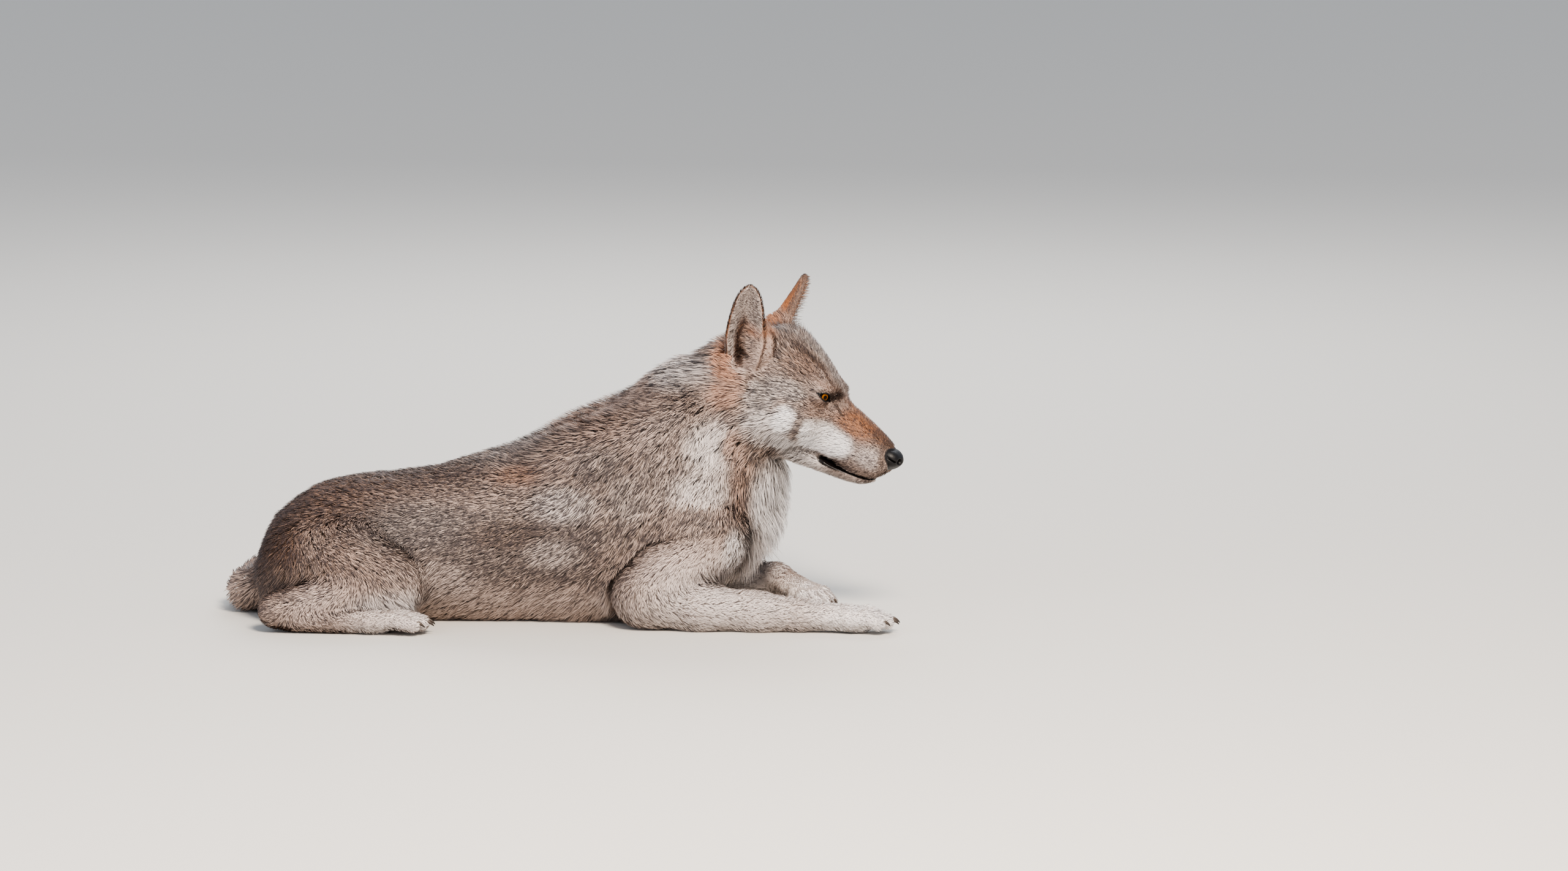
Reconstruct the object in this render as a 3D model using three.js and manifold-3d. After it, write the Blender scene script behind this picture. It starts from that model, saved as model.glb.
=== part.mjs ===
// A grey wolf lying on its chest with its head raised and turned a little to its right, life size.
// Millimetres, +Z up, +X towards the head, +Y to the wolf's left. The origin is on the floor, under
// the middle of the chest, on the flat that the breastbone rests on.
//
// Every part of the body is a chain of sections with elliptical outlines, melted together by a
// smooth union. The melted shape is turned into a closed mesh on a grid, and then parted with thin cuts.

import * as THREE from "three";
import { mergeVertices } from "three/addons/utils/BufferGeometryUtils.js";
import Module from "manifold-3d";

const wasm = await Module();
wasm.setup();

// ---------- driving dimensions ----------

const headTurn = THREE.MathUtils.degToRad(15); // yaw of the head to the wolf's right
const headDip = THREE.MathUtils.degToRad(20); // how far the muzzle points down
const eyeLine = new THREE.Vector3(380, -31, 321); // midway between the eyes
const eyeSpread = 34; // from the middle of the head to the middle of an eyeball
const eyeRadius = 11.5;
const gap = 0.25; // half the width of a parting cut

const cellSize = { trunk: 62, head: 20, leg: 27, paw: 18, tail: 34, nose: 10 };

// Coat colours, one for each kind of part.
const colour = {
  fur: 0x8a7b6b,
  darkFur: 0x5f554d,
  paleFur: 0xc9bdae,
  tanFur: 0xb08d68,
  leather: 0x1e1b1c,
  eye: 0xb07a24,
  claw: 0x2b2725,
};

// ---------- frames ----------

// The head's own frame: X towards the nose, Y to the wolf's left, Z to the crown.
const headFrame = new THREE.Matrix4()
  .makeTranslation(eyeLine.x, eyeLine.y, eyeLine.z)
  .multiply(new THREE.Matrix4().makeRotationZ(-headTurn))
  .multiply(new THREE.Matrix4().makeRotationY(headDip));

const inHead = (x, y, z) => new THREE.Vector3(x, y, z).applyMatrix4(headFrame);

// ---------- fields: negative inside, positive outside, roughly a distance in mm ----------

// A smooth minimum: two shapes nearer than k melt into each other.
function melt(a, b, k) {
  const h = Math.max(k - Math.abs(a - b), 0) / k;
  return Math.min(a, b) - (h * h * k) / 4;
}

// One tapered length between two sections. A section is { at, up, side }: its middle, and its half
// height and half width across the way it runs. zenith is the direction that up is measured in.
function length(from, to, zenith) {
  const run = to.at.clone().sub(from.at);
  const long = run.length();
  const along = run.clone().divideScalar(long);
  const side = new THREE.Vector3().crossVectors(zenith, along).normalize();
  const up = new THREE.Vector3().crossVectors(along, side);
  const offset = new THREE.Vector3();
  return (p) => {
    offset.subVectors(p, from.at);
    const s = offset.dot(along);
    const t = Math.min(Math.max(s / long, 0), 1);
    const halfUp = from.up + (to.up - from.up) * t;
    const halfSide = from.side + (to.side - from.side) * t;
    const least = Math.min(halfUp, halfSide);
    const past = s - t * long; // beyond either end, closed by a rounded cap
    const r = Math.hypot(offset.dot(up) / halfUp, offset.dot(side) / halfSide, past / least);
    return (r - 1) * least;
  };
}

// A whole chain of sections, melted at each joint.
function chain(sections, zenith, k) {
  const lengths = sections.slice(1).map((to, i) => length(sections[i], to, zenith));
  return (p) => lengths.reduce((d, f) => melt(d, f(p), k), 1e3);
}

// An ellipsoid in a frame of its own.
function ellipsoid(middle, radii, frame = new THREE.Matrix4()) {
  const inverse = frame.clone().invert();
  const least = Math.min(...radii);
  const q = new THREE.Vector3();
  return (p) => {
    q.copy(p).applyMatrix4(inverse);
    const x = (q.x - middle[0]) / radii[0];
    const y = (q.y - middle[1]) / radii[1];
    const z = (q.z - middle[2]) / radii[2];
    return (Math.hypot(x, y, z) - 1) * least;
  };
}

const meltAll = (fields, k) => (p) => fields.reduce((d, f) => melt(d, f(p), k), 1e3);

// ---------- from a field to a closed mesh ----------

// Surface nets: one vertex in each cell that the surface crosses, one quad for each grid edge it cuts.
function netOf(field, box, cell) {
  const count = ["x", "y", "z"].map((k) => Math.ceil((box.max[k] - box.min[k]) / cell) + 2);
  const [nx, ny, nz] = count;
  const corner = box.min.clone().subScalar(cell / 2);
  const place = (i, j, k) => new THREE.Vector3(i, j, k).multiplyScalar(cell).add(corner);
  const index = (i, j, k) => (i * ny + j) * nz + k;
  const value = new Float64Array(nx * ny * nz);
  for (let i = 0; i < nx; i++)
    for (let j = 0; j < ny; j++)
      for (let k = 0; k < nz; k++) {
        const edge = i === 0 || j === 0 || k === 0 || i === nx - 1 || j === ny - 1 || k === nz - 1;
        value[index(i, j, k)] = edge ? cell : field(place(i, j, k));
      }

  const corners = [];
  for (let c = 0; c < 8; c++) corners.push([c & 1, (c >> 1) & 1, (c >> 2) & 1]);
  const points = [];
  const vertexOf = new Int32Array(nx * ny * nz).fill(-1);
  for (let i = 0; i < nx - 1; i++)
    for (let j = 0; j < ny - 1; j++)
      for (let k = 0; k < nz - 1; k++) {
        const v = corners.map(([a, b, c]) => value[index(i + a, j + b, k + c)]);
        const inside = v.filter((x) => x < 0).length;
        if (inside === 0 || inside === 8) continue;
        const sum = new THREE.Vector3();
        let cuts = 0;
        for (let a = 0; a < 8; a++)
          for (const bit of [1, 2, 4]) {
            const b = a | bit;
            if (b === a || v[a] < 0 === v[b] < 0) continue;
            const t = v[a] / (v[a] - v[b]);
            const [p, q] = [a, b].map((c) => place(i + corners[c][0], j + corners[c][1], k + corners[c][2]));
            sum.add(p.lerp(q, t));
            cuts++;
          }
        vertexOf[index(i, j, k)] = points.length;
        points.push(settle(sum.divideScalar(cuts), field, cell));
      }

  const faces = [];
  const quad = (a, b, c, d, flip) => {
    const short = points[a].distanceTo(points[c]) < points[b].distanceTo(points[d]);
    const two = short ? [[a, b, c], [a, c, d]] : [[a, b, d], [b, c, d]];
    for (const [p, q, r] of two) faces.push(...(flip ? [p, r, q] : [p, q, r]));
  };
  for (let i = 0; i < nx - 1; i++)
    for (let j = 0; j < ny - 1; j++)
      for (let k = 0; k < nz - 1; k++) {
        const here = value[index(i, j, k)] < 0;
        const at = (a, b, c) => vertexOf[index(i - a, j - b, k - c)];
        if (here !== value[index(i + 1, j, k)] < 0)
          quad(at(0, 1, 1), at(0, 0, 1), at(0, 0, 0), at(0, 1, 0), !here);
        if (here !== value[index(i, j + 1, k)] < 0)
          quad(at(1, 0, 1), at(1, 0, 0), at(0, 0, 0), at(0, 0, 1), !here);
        if (here !== value[index(i, j, k + 1)] < 0)
          quad(at(1, 1, 0), at(0, 1, 0), at(0, 0, 0), at(1, 0, 0), !here);
      }
  return { points, faces };
}

// Slides a net's vertex onto the field's surface.
function settle(p, field, cell) {
  const h = 0.5;
  const axes = [new THREE.Vector3(h, 0, 0), new THREE.Vector3(0, h, 0), new THREE.Vector3(0, 0, h)];
  const rise = (e) => (field(p.clone().add(e)) - field(p.clone().sub(e))) / (2 * h);
  const slope = new THREE.Vector3(...axes.map(rise));
  const step = field(p) / Math.max(slope.lengthSq(), 0.1);
  return p.addScaledVector(slope, -THREE.MathUtils.clamp(step, -cell / 3, cell / 3));
}

// ---------- solids ----------

function solidOf(points, faces) {
  const vertProperties = new Float32Array(points.flatMap((p) => [p.x, p.y, p.z]));
  const mesh = new wasm.Mesh({ numProp: 3, vertProperties, triVerts: new Uint32Array(faces) });
  return new wasm.Manifold(mesh);
}

// The same, whichever way round the faces were listed.
function facingOut(points, faces) {
  const solid = solidOf(points, faces);
  if (solid.volume() > 0) return solid;
  const turned = [];
  for (let i = 0; i < faces.length; i += 3) turned.push(faces[i], faces[i + 2], faces[i + 1]);
  return solidOf(points, turned);
}

function solidFromField(field, low, high, cell) {
  const box = new THREE.Box3(new THREE.Vector3(...low), new THREE.Vector3(...high));
  const { points, faces } = netOf(field, box, cell);
  return solidOf(points, faces);
}

// A three.js geometry as a solid, placed by a matrix.
function solidFromGeometry(geometry, matrix = new THREE.Matrix4()) {
  const bare = geometry.clone().applyMatrix4(matrix);
  bare.deleteAttribute("normal");
  bare.deleteAttribute("uv");
  const merged = mergeVertices(bare, 1e-3);
  const at = merged.attributes.position;
  const points = [];
  for (let i = 0; i < at.count; i++) points.push(new THREE.Vector3().fromBufferAttribute(at, i));
  return solidOf(points, Array.from(merged.index.array));
}

// The same solid with its surface moved out by a little, to cut its neighbours clear of it.
function swell(solid, by = 2 * gap) {
  const { vertProperties, triVerts } = solid.getMesh();
  const geometry = new THREE.BufferGeometry()
    .setAttribute("position", new THREE.BufferAttribute(vertProperties, 3))
    .setIndex(new THREE.BufferAttribute(triVerts, 1));
  geometry.computeVertexNormals();
  const [at, normal] = [geometry.attributes.position, geometry.attributes.normal];
  const points = [];
  for (let i = 0; i < at.count; i++) {
    const n = new THREE.Vector3().fromBufferAttribute(normal, i);
    points.push(new THREE.Vector3().fromBufferAttribute(at, i).addScaledVector(n, by));
  }
  return solidOf(points, Array.from(triVerts));
}

// Everything on the side of a plane that its normal points to.
function sideOf(point, normal, shift = 0) {
  const big = 3000;
  const up = new THREE.Vector3(0, 0, 1);
  const turn = new THREE.Quaternion().setFromUnitVectors(up, normal.clone().normalize());
  const middle = new THREE.Vector3(0, 0, big / 2 + shift).applyQuaternion(turn).add(point);
  const matrix = new THREE.Matrix4().compose(middle, turn, new THREE.Vector3(1, 1, 1));
  return solidFromGeometry(new THREE.BoxGeometry(big, big, big), matrix);
}

// Parts a solid in two with a thin cut: [the side that the normal points to, the other side].
function part(solid, point, normal) {
  const back = normal.clone().negate();
  return [solid.intersect(sideOf(point, normal, gap)), solid.intersect(sideOf(point, back, gap))];
}

const aboveFloor = sideOf(new THREE.Vector3(0, 0, 0), new THREE.Vector3(0, 0, 1));

// The largest body of a solid, so that a cut leaves no crumbs.
function whole(solid) {
  return solid.decompose().reduce((a, b) => (b.volume() > a.volume() ? b : a));
}

const vec = (x, y, z) => new THREE.Vector3(x, y, z);
const zenith = vec(0, 0, 1);

// ---------- the body: trunk, neck and head as one field ----------

const bodySection = ([x, z, up, side, y = 0]) => ({ at: vec(x, y, z), up, side });

// Along the spine, from the root of the tail to the front of the chest: x, z, half height, half width.
const trunkSections = [
  [-372, 44, 46, 68],
  [-346, 68, 72, 87],
  [-304, 85, 93, 96],
  [-240, 95, 99, 97],
  [-150, 100, 105, 100],
  [-70, 110, 116, 104],
  [20, 120, 130, 106],
  [96, 132, 130, 104],
  [170, 144, 108, 92],
].map(bodySection);

// Up the neck to the back of the skull: x, z, half height, half width, y.
const neckSections = [
  [132, 156, 118, 98],
  [182, 210, 118, 94],
  [220, 262, 106, 86, -3],
  [260, 318, 84, 74, -8],
].map(bodySection);

const mirrored = (make) => [make(1), make(-1)];

const trunkField = meltAll(
  [
    chain(trunkSections, zenith, 30),
    ellipsoid([232, 0, 152], [82, 74, 84]), // long hair on the breast
    ...mirrored((s) => ellipsoid([110, s * 74, 168], [86, 42, 96])), // shoulder blades
    ...mirrored((s) => ellipsoid([-316, s * 64, 84], [84, 54, 70])), // haunches
  ],
  40,
);
const neckField = chain(neckSections, zenith, 40);

// The head, in its own frame: x, z, half height, half width.
const headSection = ([x, z, up, side]) => ({ at: inHead(x, 0, z), up, side });
const crown = zenith.clone().transformDirection(headFrame);
const skullSections = [
  [-108, -8, 60, 64],
  [-72, 0, 62, 68],
  [-40, -11, 59, 64],
  [-10, -29, 54, 54],
  [18, -46, 40, 43],
  [55, -49, 34, 36],
  [90, -54, 27, 30],
  [111, -56, 20, 25],
].map(headSection);
const jawSections = [
  [-40, -76, 36, 42],
  [10, -83, 25, 33],
  [55, -89.5, 17, 25],
  [94, -89, 12.5, 20],
].map(headSection);

const skullField = meltAll(
  [
    chain(skullSections, crown, 12),
    ...mirrored((s) => ellipsoid([-40, s * 44, -40], [56, 34, 40], headFrame)), // cheekbones
    ...mirrored((s) => ellipsoid([-84, s * 48, -62], [48, 36, 52], headFrame)), // cheek ruffs
    ...mirrored((s) => ellipsoid([-4, s * 25, 0], [20, 14, 12], headFrame)), // brows
    ...mirrored((s) => ellipsoid([84, s * 17, -66], [34, 14, 20], headFrame)), // flews
  ],
  14,
);
const jawField = chain(jawSections, crown, 12);
const headField = meltAll([skullField, jawField], 10);
const bodyField = meltAll([trunkField, meltAll([neckField, headField], 22)], 40);

// ---------- legs and tail ----------

const round = ([x, y, z, r]) => ({ at: vec(x, y, z), up: r, side: r });

// side is +1 on the left and -1 on the right. Joints: x, distance from the middle plane, z, radius.
const frontLegs = {
  right: {
    side: -1,
    upperArm: [[212, 74, 112, 50], [166, 98, 80, 50], [124, 112, 52, 46]],
    foreArm: [[124, 114, 40, 41], [200, 126, 32, 34], [280, 134, 26, 27], [338, 138, 23, 25]],
    paw: { wrist: [342, 139, 23], toes: [452, 150, 16] },
  },
  left: {
    side: 1,
    upperArm: [[206, 74, 112, 50], [160, 98, 80, 50], [118, 112, 52, 46]],
    foreArm: [[118, 114, 40, 41], [190, 108, 34, 35], [258, 88, 34, 28], [306, 68, 38, 25]],
    paw: { wrist: [310, 64, 38], toes: [368, -14, 17] },
  },
};
const hindLegs = {
  right: {
    side: -1,
    thigh: [[-330, 66, 84, 60], [-290, 92, 78, 62], [-240, 110, 66, 52]],
    shank: [[-240, 114, 52, 47], [-310, 128, 42, 38], [-390, 142, 30, 27]],
    paw: { wrist: [-366, 144, 21], toes: [-196, 158, 15] },
  },
  left: {
    side: 1,
    thigh: [[-330, 64, 84, 60], [-292, 90, 78, 62], [-248, 106, 66, 52]],
    shank: [[-248, 110, 52, 47], [-312, 116, 42, 38], [-374, 120, 30, 27]],
    paw: { wrist: [-352, 124, 21], toes: [-192, 142, 15] },
  },
};

const onSide = (side, [x, out, z, r]) => round([x, side * out, z, r]);
const limb = (side, joints, k) => chain(joints.map((j) => onSide(side, j)), zenith, k);

// A paw: the pastern, four toes that spread a little, and the pads under them.
const toeSpread = [-1.5, -0.5, 0.5, 1.5];
const toePitch = 12.5; // between the middles of two toes
const toeReach = [0, 11, 11, 0]; // the middle toes are the longest

function pawParts(side, { wrist, toes }) {
  const start = vec(wrist[0], side * wrist[1], wrist[2]);
  const end = vec(toes[0], side * toes[1], toes[2]);
  const ahead = end.clone().sub(start).setZ(0).normalize();
  const across = vec(-ahead.y, ahead.x, 0);
  const knuckle = start.clone().lerp(end, 0.62);
  knuckle.z = Math.max(knuckle.z, end.z + 4);
  const pastern = chain([{ at: start, up: 21, side: 22 }, { at: knuckle, up: 20, side: 25 }], zenith, 8);
  const tips = toeSpread.map((t, i) =>
    end.clone().addScaledVector(across, t * toePitch * 1.12).addScaledVector(ahead, toeReach[i]),
  );
  const toeFields = toeSpread.map((t, i) => {
    const root = knuckle.clone().addScaledVector(across, t * toePitch * 0.8);
    const middle = tips[i].clone().lerp(root, 0.45).add(vec(0, 0, 5));
    const joints = [[root, 13], [middle, 11.5], [tips[i], 9.5]];
    return chain(joints.map(([at, r]) => ({ at, up: r * 1.1, side: r })), zenith, 6);
  });
  const pad = ellipsoid([knuckle.x + ahead.x * 14, knuckle.y + ahead.y * 14, 13], [17, 17, 14]);
  const field = meltAll([pastern, pad, meltAll(toeFields, 4)], 10);
  return { field, start, ahead, across, tips };
}

// A claw: a cone bent down over the end of its toe.
function clawSolid(tip, ahead, scale = 1) {
  const rings = 3;
  const sides = 5;
  const long = 17 * scale;
  const thick = 3.4 * scale;
  const across = vec(-ahead.y, ahead.x, 0);
  const points = [];
  for (let i = 0; i < rings; i++) {
    const t = i / rings;
    const bend = t * 0.95;
    const middle = tip
      .clone()
      .addScaledVector(ahead, 2 + (long * Math.sin(bend)) / 0.95)
      .add(vec(0, 0, 4.5 - (long * (1 - Math.cos(bend))) / 0.95));
    const normal = ahead.clone().multiplyScalar(Math.sin(bend)).add(vec(0, 0, Math.cos(bend)));
    const r = thick * Math.pow(1 - t, 0.7);
    for (let j = 0; j < sides; j++) {
      const a = (2 * Math.PI * j) / sides;
      points.push(
        middle
          .clone()
          .addScaledVector(across, r * 0.75 * Math.cos(a))
          .addScaledVector(normal, r * Math.sin(a)),
      );
    }
  }
  const root = points.length;
  points.push(tip.clone().addScaledVector(ahead, 2).add(vec(0, 0, 4.5)));
  const bend = 0.95;
  points.push(
    tip
      .clone()
      .addScaledVector(ahead, 2 + (long * Math.sin(bend)) / 0.95)
      .add(vec(0, 0, 4.5 - (long * (1 - Math.cos(bend))) / 0.95)),
  );
  const faces = [];
  for (let j = 0; j < sides; j++) {
    const k = (j + 1) % sides;
    faces.push(root, k, j);
    for (let i = 0; i < rings - 1; i++) {
      const [a, b] = [i * sides + j, i * sides + k];
      faces.push(a, b, b + sides, a, b + sides, a + sides);
    }
    const last = (rings - 1) * sides;
    faces.push(last + j, last + k, root + 1);
  }
  return facingOut(points, faces);
}

// The tail curls round the left haunch on the floor: x, y, z, radius.
const tailSections = [
  [-412, 2, 44, 30],
  [-442, 22, 30, 28],
  [-444, 66, 28, 27],
  [-428, 128, 30, 31],
  [-384, 184, 34, 37],
  [-312, 220, 35, 39],
  [-236, 236, 26, 29],
  [-184, 238, 14, 15],
].map(round);
const tailField = chain(tailSections, zenith, 16);

// ---------- ears ----------

// An ear as a curved shell in the head's frame, with y measured outwards. It runs from root to tip
// and is open towards facing.
const ears = {
  right: { side: -1, root: [-126, 50, 4], tip: [-147, 68, 115], facing: [0.3, 0.95, 0.1] },
  left: { side: 1, root: [-108, 48, 22], tip: [-112, 76, 131], facing: [0.62, 0.78, 0] },
};
const ear = { halfWidth: 28, cup: 24, thickness: 6 };

function earSolid({ side, root, tip, facing }) {
  const start = inHead(root[0], side * root[1], root[2]);
  const up = inHead(tip[0], side * tip[1], tip[2]).sub(start);
  const long = up.length();
  up.divideScalar(long);
  const open = vec(facing[0], side * facing[1], facing[2]).transformDirection(headFrame);
  open.addScaledVector(up, -open.dot(up)).normalize();
  const across = new THREE.Vector3().crossVectors(open, up);
  const rows = 6;
  const columns = 6;
  // s runs from the root (0) to the tip (1), t from edge (-1) to edge (1), layer is 1 inside, -1 outside.
  const surface = (s, t, layer) => {
    const width = ear.halfWidth * Math.sqrt(1 - s ** 3) * (0.74 + 0.26 * Math.min(s / 0.3, 1));
    const hollow = ear.cup * (1 - t * t) * (1 - 0.72 * s);
    const skin = (ear.thickness / 2) * (1 - 0.5 * s) * Math.sqrt(1 - 0.85 * t * t);
    return start
      .clone()
      .addScaledVector(up, s * long)
      .addScaledVector(across, t * width)
      .addScaledVector(open, 8 - hollow + layer * skin);
  };
  const points = [];
  const grid = (layer) => {
    const first = points.length;
    for (let i = 0; i <= rows; i++) {
      const s = 0.985 * Math.sin((0.5 * Math.PI * i) / rows);
      for (let j = 0; j <= columns; j++) points.push(surface(s, (2 * j) / columns - 1, layer));
    }
    return (i, j) => first + i * (columns + 1) + j;
  };
  const front = grid(1);
  const rear = grid(-1);
  const faces = [];
  const quad = (a, b, c, d) => faces.push(a, b, c, a, c, d);
  for (let i = 0; i < rows; i++)
    for (let j = 0; j < columns; j++) {
      quad(front(i, j), front(i, j + 1), front(i + 1, j + 1), front(i + 1, j));
      quad(rear(i, j), rear(i + 1, j), rear(i + 1, j + 1), rear(i, j + 1));
    }
  for (let i = 0; i < rows; i++) {
    quad(front(i, 0), front(i + 1, 0), rear(i + 1, 0), rear(i, 0));
    quad(front(i, columns), rear(i, columns), rear(i + 1, columns), front(i + 1, columns));
  }
  for (let j = 0; j < columns; j++) {
    quad(front(0, j), rear(0, j), rear(0, j + 1), front(0, j + 1));
    quad(front(rows, j), front(rows, j + 1), rear(rows, j + 1), rear(rows, j));
  }
  return facingOut(points, faces);
}

// ---------- cutting it all to fit ----------

const nodes = [];
function node(name, solid, hex, roughness = 0.9) {
  const mesh = whole(solid).getMesh();
  const geometry = new THREE.BufferGeometry()
    .setAttribute("position", new THREE.BufferAttribute(mesh.vertProperties, 3))
    .setIndex(new THREE.BufferAttribute(mesh.triVerts, 1));
  geometry.computeVertexNormals();
  const material = new THREE.MeshStandardMaterial({ color: hex, roughness, metalness: 0 });
  const made = new THREE.Mesh(geometry, material);
  made.name = name;
  nodes.push(made);
}

// Legs first, because the trunk is cut to fit round them.
const cutters = [];
const boxRound = (places, margin) => {
  const box = new THREE.Box3().setFromPoints(places).expandByScalar(margin);
  return [box.min.setZ(-12).toArray(), box.max.toArray()];
};
const sectionsBox = (sections) => boxRound(sections.map((s) => s.at), 80);

function addPaw(name, { field, start, ahead, tips }, wrist) {
  const raw = solidFromField(field, ...boxRound([start, ...tips], 42), cellSize.paw);
  let solid = raw.intersect(aboveFloor);
  if (wrist) solid = solid.intersect(sideOf(wrist.point, wrist.normal, gap));
  tips.forEach((tip, i) => {
    const claw = clawSolid(tip, ahead);
    solid = solid.subtract(swell(claw));
    node(`${name}_claw_${i + 1}`, claw, colour.claw, 0.4);
  });
  node(name, solid, colour.paleFur);
  return swell(raw);
}

for (const [name, { side, upperArm, foreArm, paw }] of Object.entries(frontLegs)) {
  const joints = [...upperArm, ...foreArm].map((j) => onSide(side, j));
  const field = meltAll([limb(side, upperArm, 20), limb(side, foreArm, 16)], 22);
  const raw = solidFromField(field, ...sectionsBox(joints), cellSize.leg);
  const foot = pawParts(side, paw);
  const wrist = { point: foot.start.clone().addScaledVector(foot.ahead, 4), normal: foot.ahead };
  const elbow = vec(upperArm[2][0] + 31.3, side * upperArm[2][1], 52);
  const [lower, upper] = part(raw.intersect(aboveFloor), elbow, vec(0.8, 0, -0.6));
  const back = wrist.normal.clone().negate();
  node(`forearm_${name}`, lower.intersect(sideOf(wrist.point, back, gap)), colour.tanFur);
  node(`upper_arm_${name}`, upper, colour.fur);
  cutters.push(swell(raw), addPaw(`forepaw_${name}`, foot, wrist));
}

for (const [name, { side, thigh, shank, paw }] of Object.entries(hindLegs)) {
  const rawThigh = solidFromField(
    limb(side, thigh, 24),
    ...sectionsBox(thigh.map((j) => onSide(side, j))),
    cellSize.leg * 1.4,
  );
  const rawShank = solidFromField(
    limb(side, shank, 18),
    ...sectionsBox(shank.map((j) => onSide(side, j))),
    cellSize.leg,
  );
  const footCutter = addPaw(`hindpaw_${name}`, pawParts(side, paw));
  const outside = vec(0, side, 0);
  const flank = vec(0, side * 84, 0);
  const thighSolid = rawThigh.intersect(aboveFloor).subtract(footCutter).subtract(swell(rawShank));
  node(`shank_${name}`, rawShank.intersect(aboveFloor).subtract(footCutter), colour.tanFur);
  node(`thigh_${name}`, thighSolid.intersect(sideOf(flank, outside, gap)), colour.fur);
  cutters.push(footCutter, swell(rawShank), swell(rawThigh).intersect(sideOf(flank, outside, -gap)));
}

// The head is parted from the neck by two planes: one behind the skull, and one under the throat.
const headCuts = [
  { point: inHead(-116, 0, 0), normal: vec(1, 0, 0.25) },
  { point: inHead(-20, 0, -122), normal: vec(0.25, 0, 1) },
].map(({ point, normal }) => ({ point, normal: normal.transformDirection(headFrame) }));
const headRegion = (shift) =>
  sideOf(headCuts[0].point, headCuts[0].normal, shift).intersect(
    sideOf(headCuts[1].point, headCuts[1].normal, shift),
  );
const neckCut = { point: vec(120, 0, 150), normal: vec(0.6, 0, 0.8) };
const backwards = (n) => n.clone().negate();

const rawBody = solidFromField(bodyField, [-560, -190, -20], [420, 190, 470], cellSize.trunk);
let body = rawBody.intersect(aboveFloor);
for (const cutter of cutters) body = body.subtract(cutter);
const trunk = body
  .intersect(sideOf(neckCut.point, backwards(neckCut.normal), gap))
  .subtract(headRegion(-gap));
const [foreTrunk, hindTrunk] = part(trunk, vec(-110, 0, 0), vec(1, 0, 0));
const [loins, rump] = part(hindTrunk, vec(-290, 0, 0), vec(1, 0, 0));
node("chest", foreTrunk, colour.fur);
node("loins", loins, colour.fur);
node("rump", rump, colour.darkFur);
const neckSide = body.intersect(sideOf(neckCut.point, neckCut.normal, gap));
node("neck", neckSide.subtract(headRegion(-gap)), colour.tanFur);

// The tail, in three lengths.
const rawTail = solidFromField(tailField, ...sectionsBox(tailSections), cellSize.tail);
let tail = rawTail.intersect(aboveFloor).subtract(swell(rawBody));
for (const cutter of cutters) tail = tail.subtract(cutter);
const [tailRear, tailRoot] = part(whole(tail), vec(-432, 112, 0), vec(0.35, 1, 0));
const [tailTip, tailMiddle] = part(tailRear, vec(-330, 212, 0), vec(1, 0.4, 0));
node("tail_root", tailRoot, colour.darkFur);
node("tail_middle", tailMiddle, colour.fur);
node("tail_tip", tailTip, colour.darkFur);

// Head, parted from the lower jaw along the mouth. The mouth line, in the head's frame: x, z.
const mouthLine = [
  [18, -80],
  [34, -85],
  [60, -86.5],
  [84, -86],
  [104, -82],
  [160, -80],
];

function jawRegion(shift) {
  const outline = new THREE.Shape(
    [...mouthLine.map(([x, z]) => [x, z - shift]), [160, -140], [-14, -140], [-30, -110]].map(
      ([x, z]) => new THREE.Vector2(x, -z),
    ),
  );
  const geometry = new THREE.ExtrudeGeometry(outline, { depth: 160, bevelEnabled: false });
  const stand = new THREE.Matrix4().makeRotationX(-Math.PI / 2).setPosition(0, -80, 0);
  return solidFromGeometry(geometry, headFrame.clone().multiply(stand));
}

const rawHead = solidFromField(bodyField, [200, -190, 150], [520, 120, 480], cellSize.head);
const headSolid = rawHead.intersect(headRegion(0));
const noseField = meltAll(
  [
    ellipsoid([119, 0, -50], [16, 18.5, 15], headFrame),
    ellipsoid([118, 0, -60], [11, 11, 14], headFrame),
  ],
  8,
);
const noseMiddle = inHead(119, 0, -54);
const rawNose = solidFromField(noseField, ...boxRound([noseMiddle], 28), cellSize.nose);
const inHeadAt = (x, y, z) => headFrame.clone().multiply(new THREE.Matrix4().makeTranslation(x, y, z));
const eyeball = (side) =>
  solidFromGeometry(new THREE.SphereGeometry(eyeRadius, 10, 6), inHeadAt(-2, side * eyeSpread, 0));
const socketShape = new THREE.SphereGeometry(1, 8, 5).scale(12, 14, 8);
const socket = (side) => solidFromGeometry(socketShape, inHeadAt(4, side * (eyeSpread + 11), 0));

let upper = headSolid.subtract(jawRegion(-2 * gap)).subtract(swell(rawNose));
for (const [name, { side }] of Object.entries(ears)) {
  node(`ear_${name}`, earSolid(ears[name]).subtract(swell(rawHead)), colour.tanFur);
  node(`eye_${name}`, eyeball(side), colour.eye, 0.1);
  upper = upper.subtract(swell(eyeball(side)).add(socket(side)));
}
node("head", upper, colour.fur);
node("lower_jaw", headSolid.intersect(jawRegion(0)).subtract(swell(rawNose)), colour.paleFur);
node("nose", rawNose, colour.leather, 0.35);

const wolf = new THREE.Group();
wolf.name = "wolf";
nodes.forEach((n) => wolf.add(n));

export default wolf;
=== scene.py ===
# A grey wolf at rest on its chest, life size. The skin is one mesh taken from the body's sections;
# the coat is locks of hair over it, joined into a few meshes. Sizes in the tables are millimetres.

import math
import bpy
import bmesh
import mathutils
import numpy as np
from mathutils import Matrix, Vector, kdtree


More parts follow.
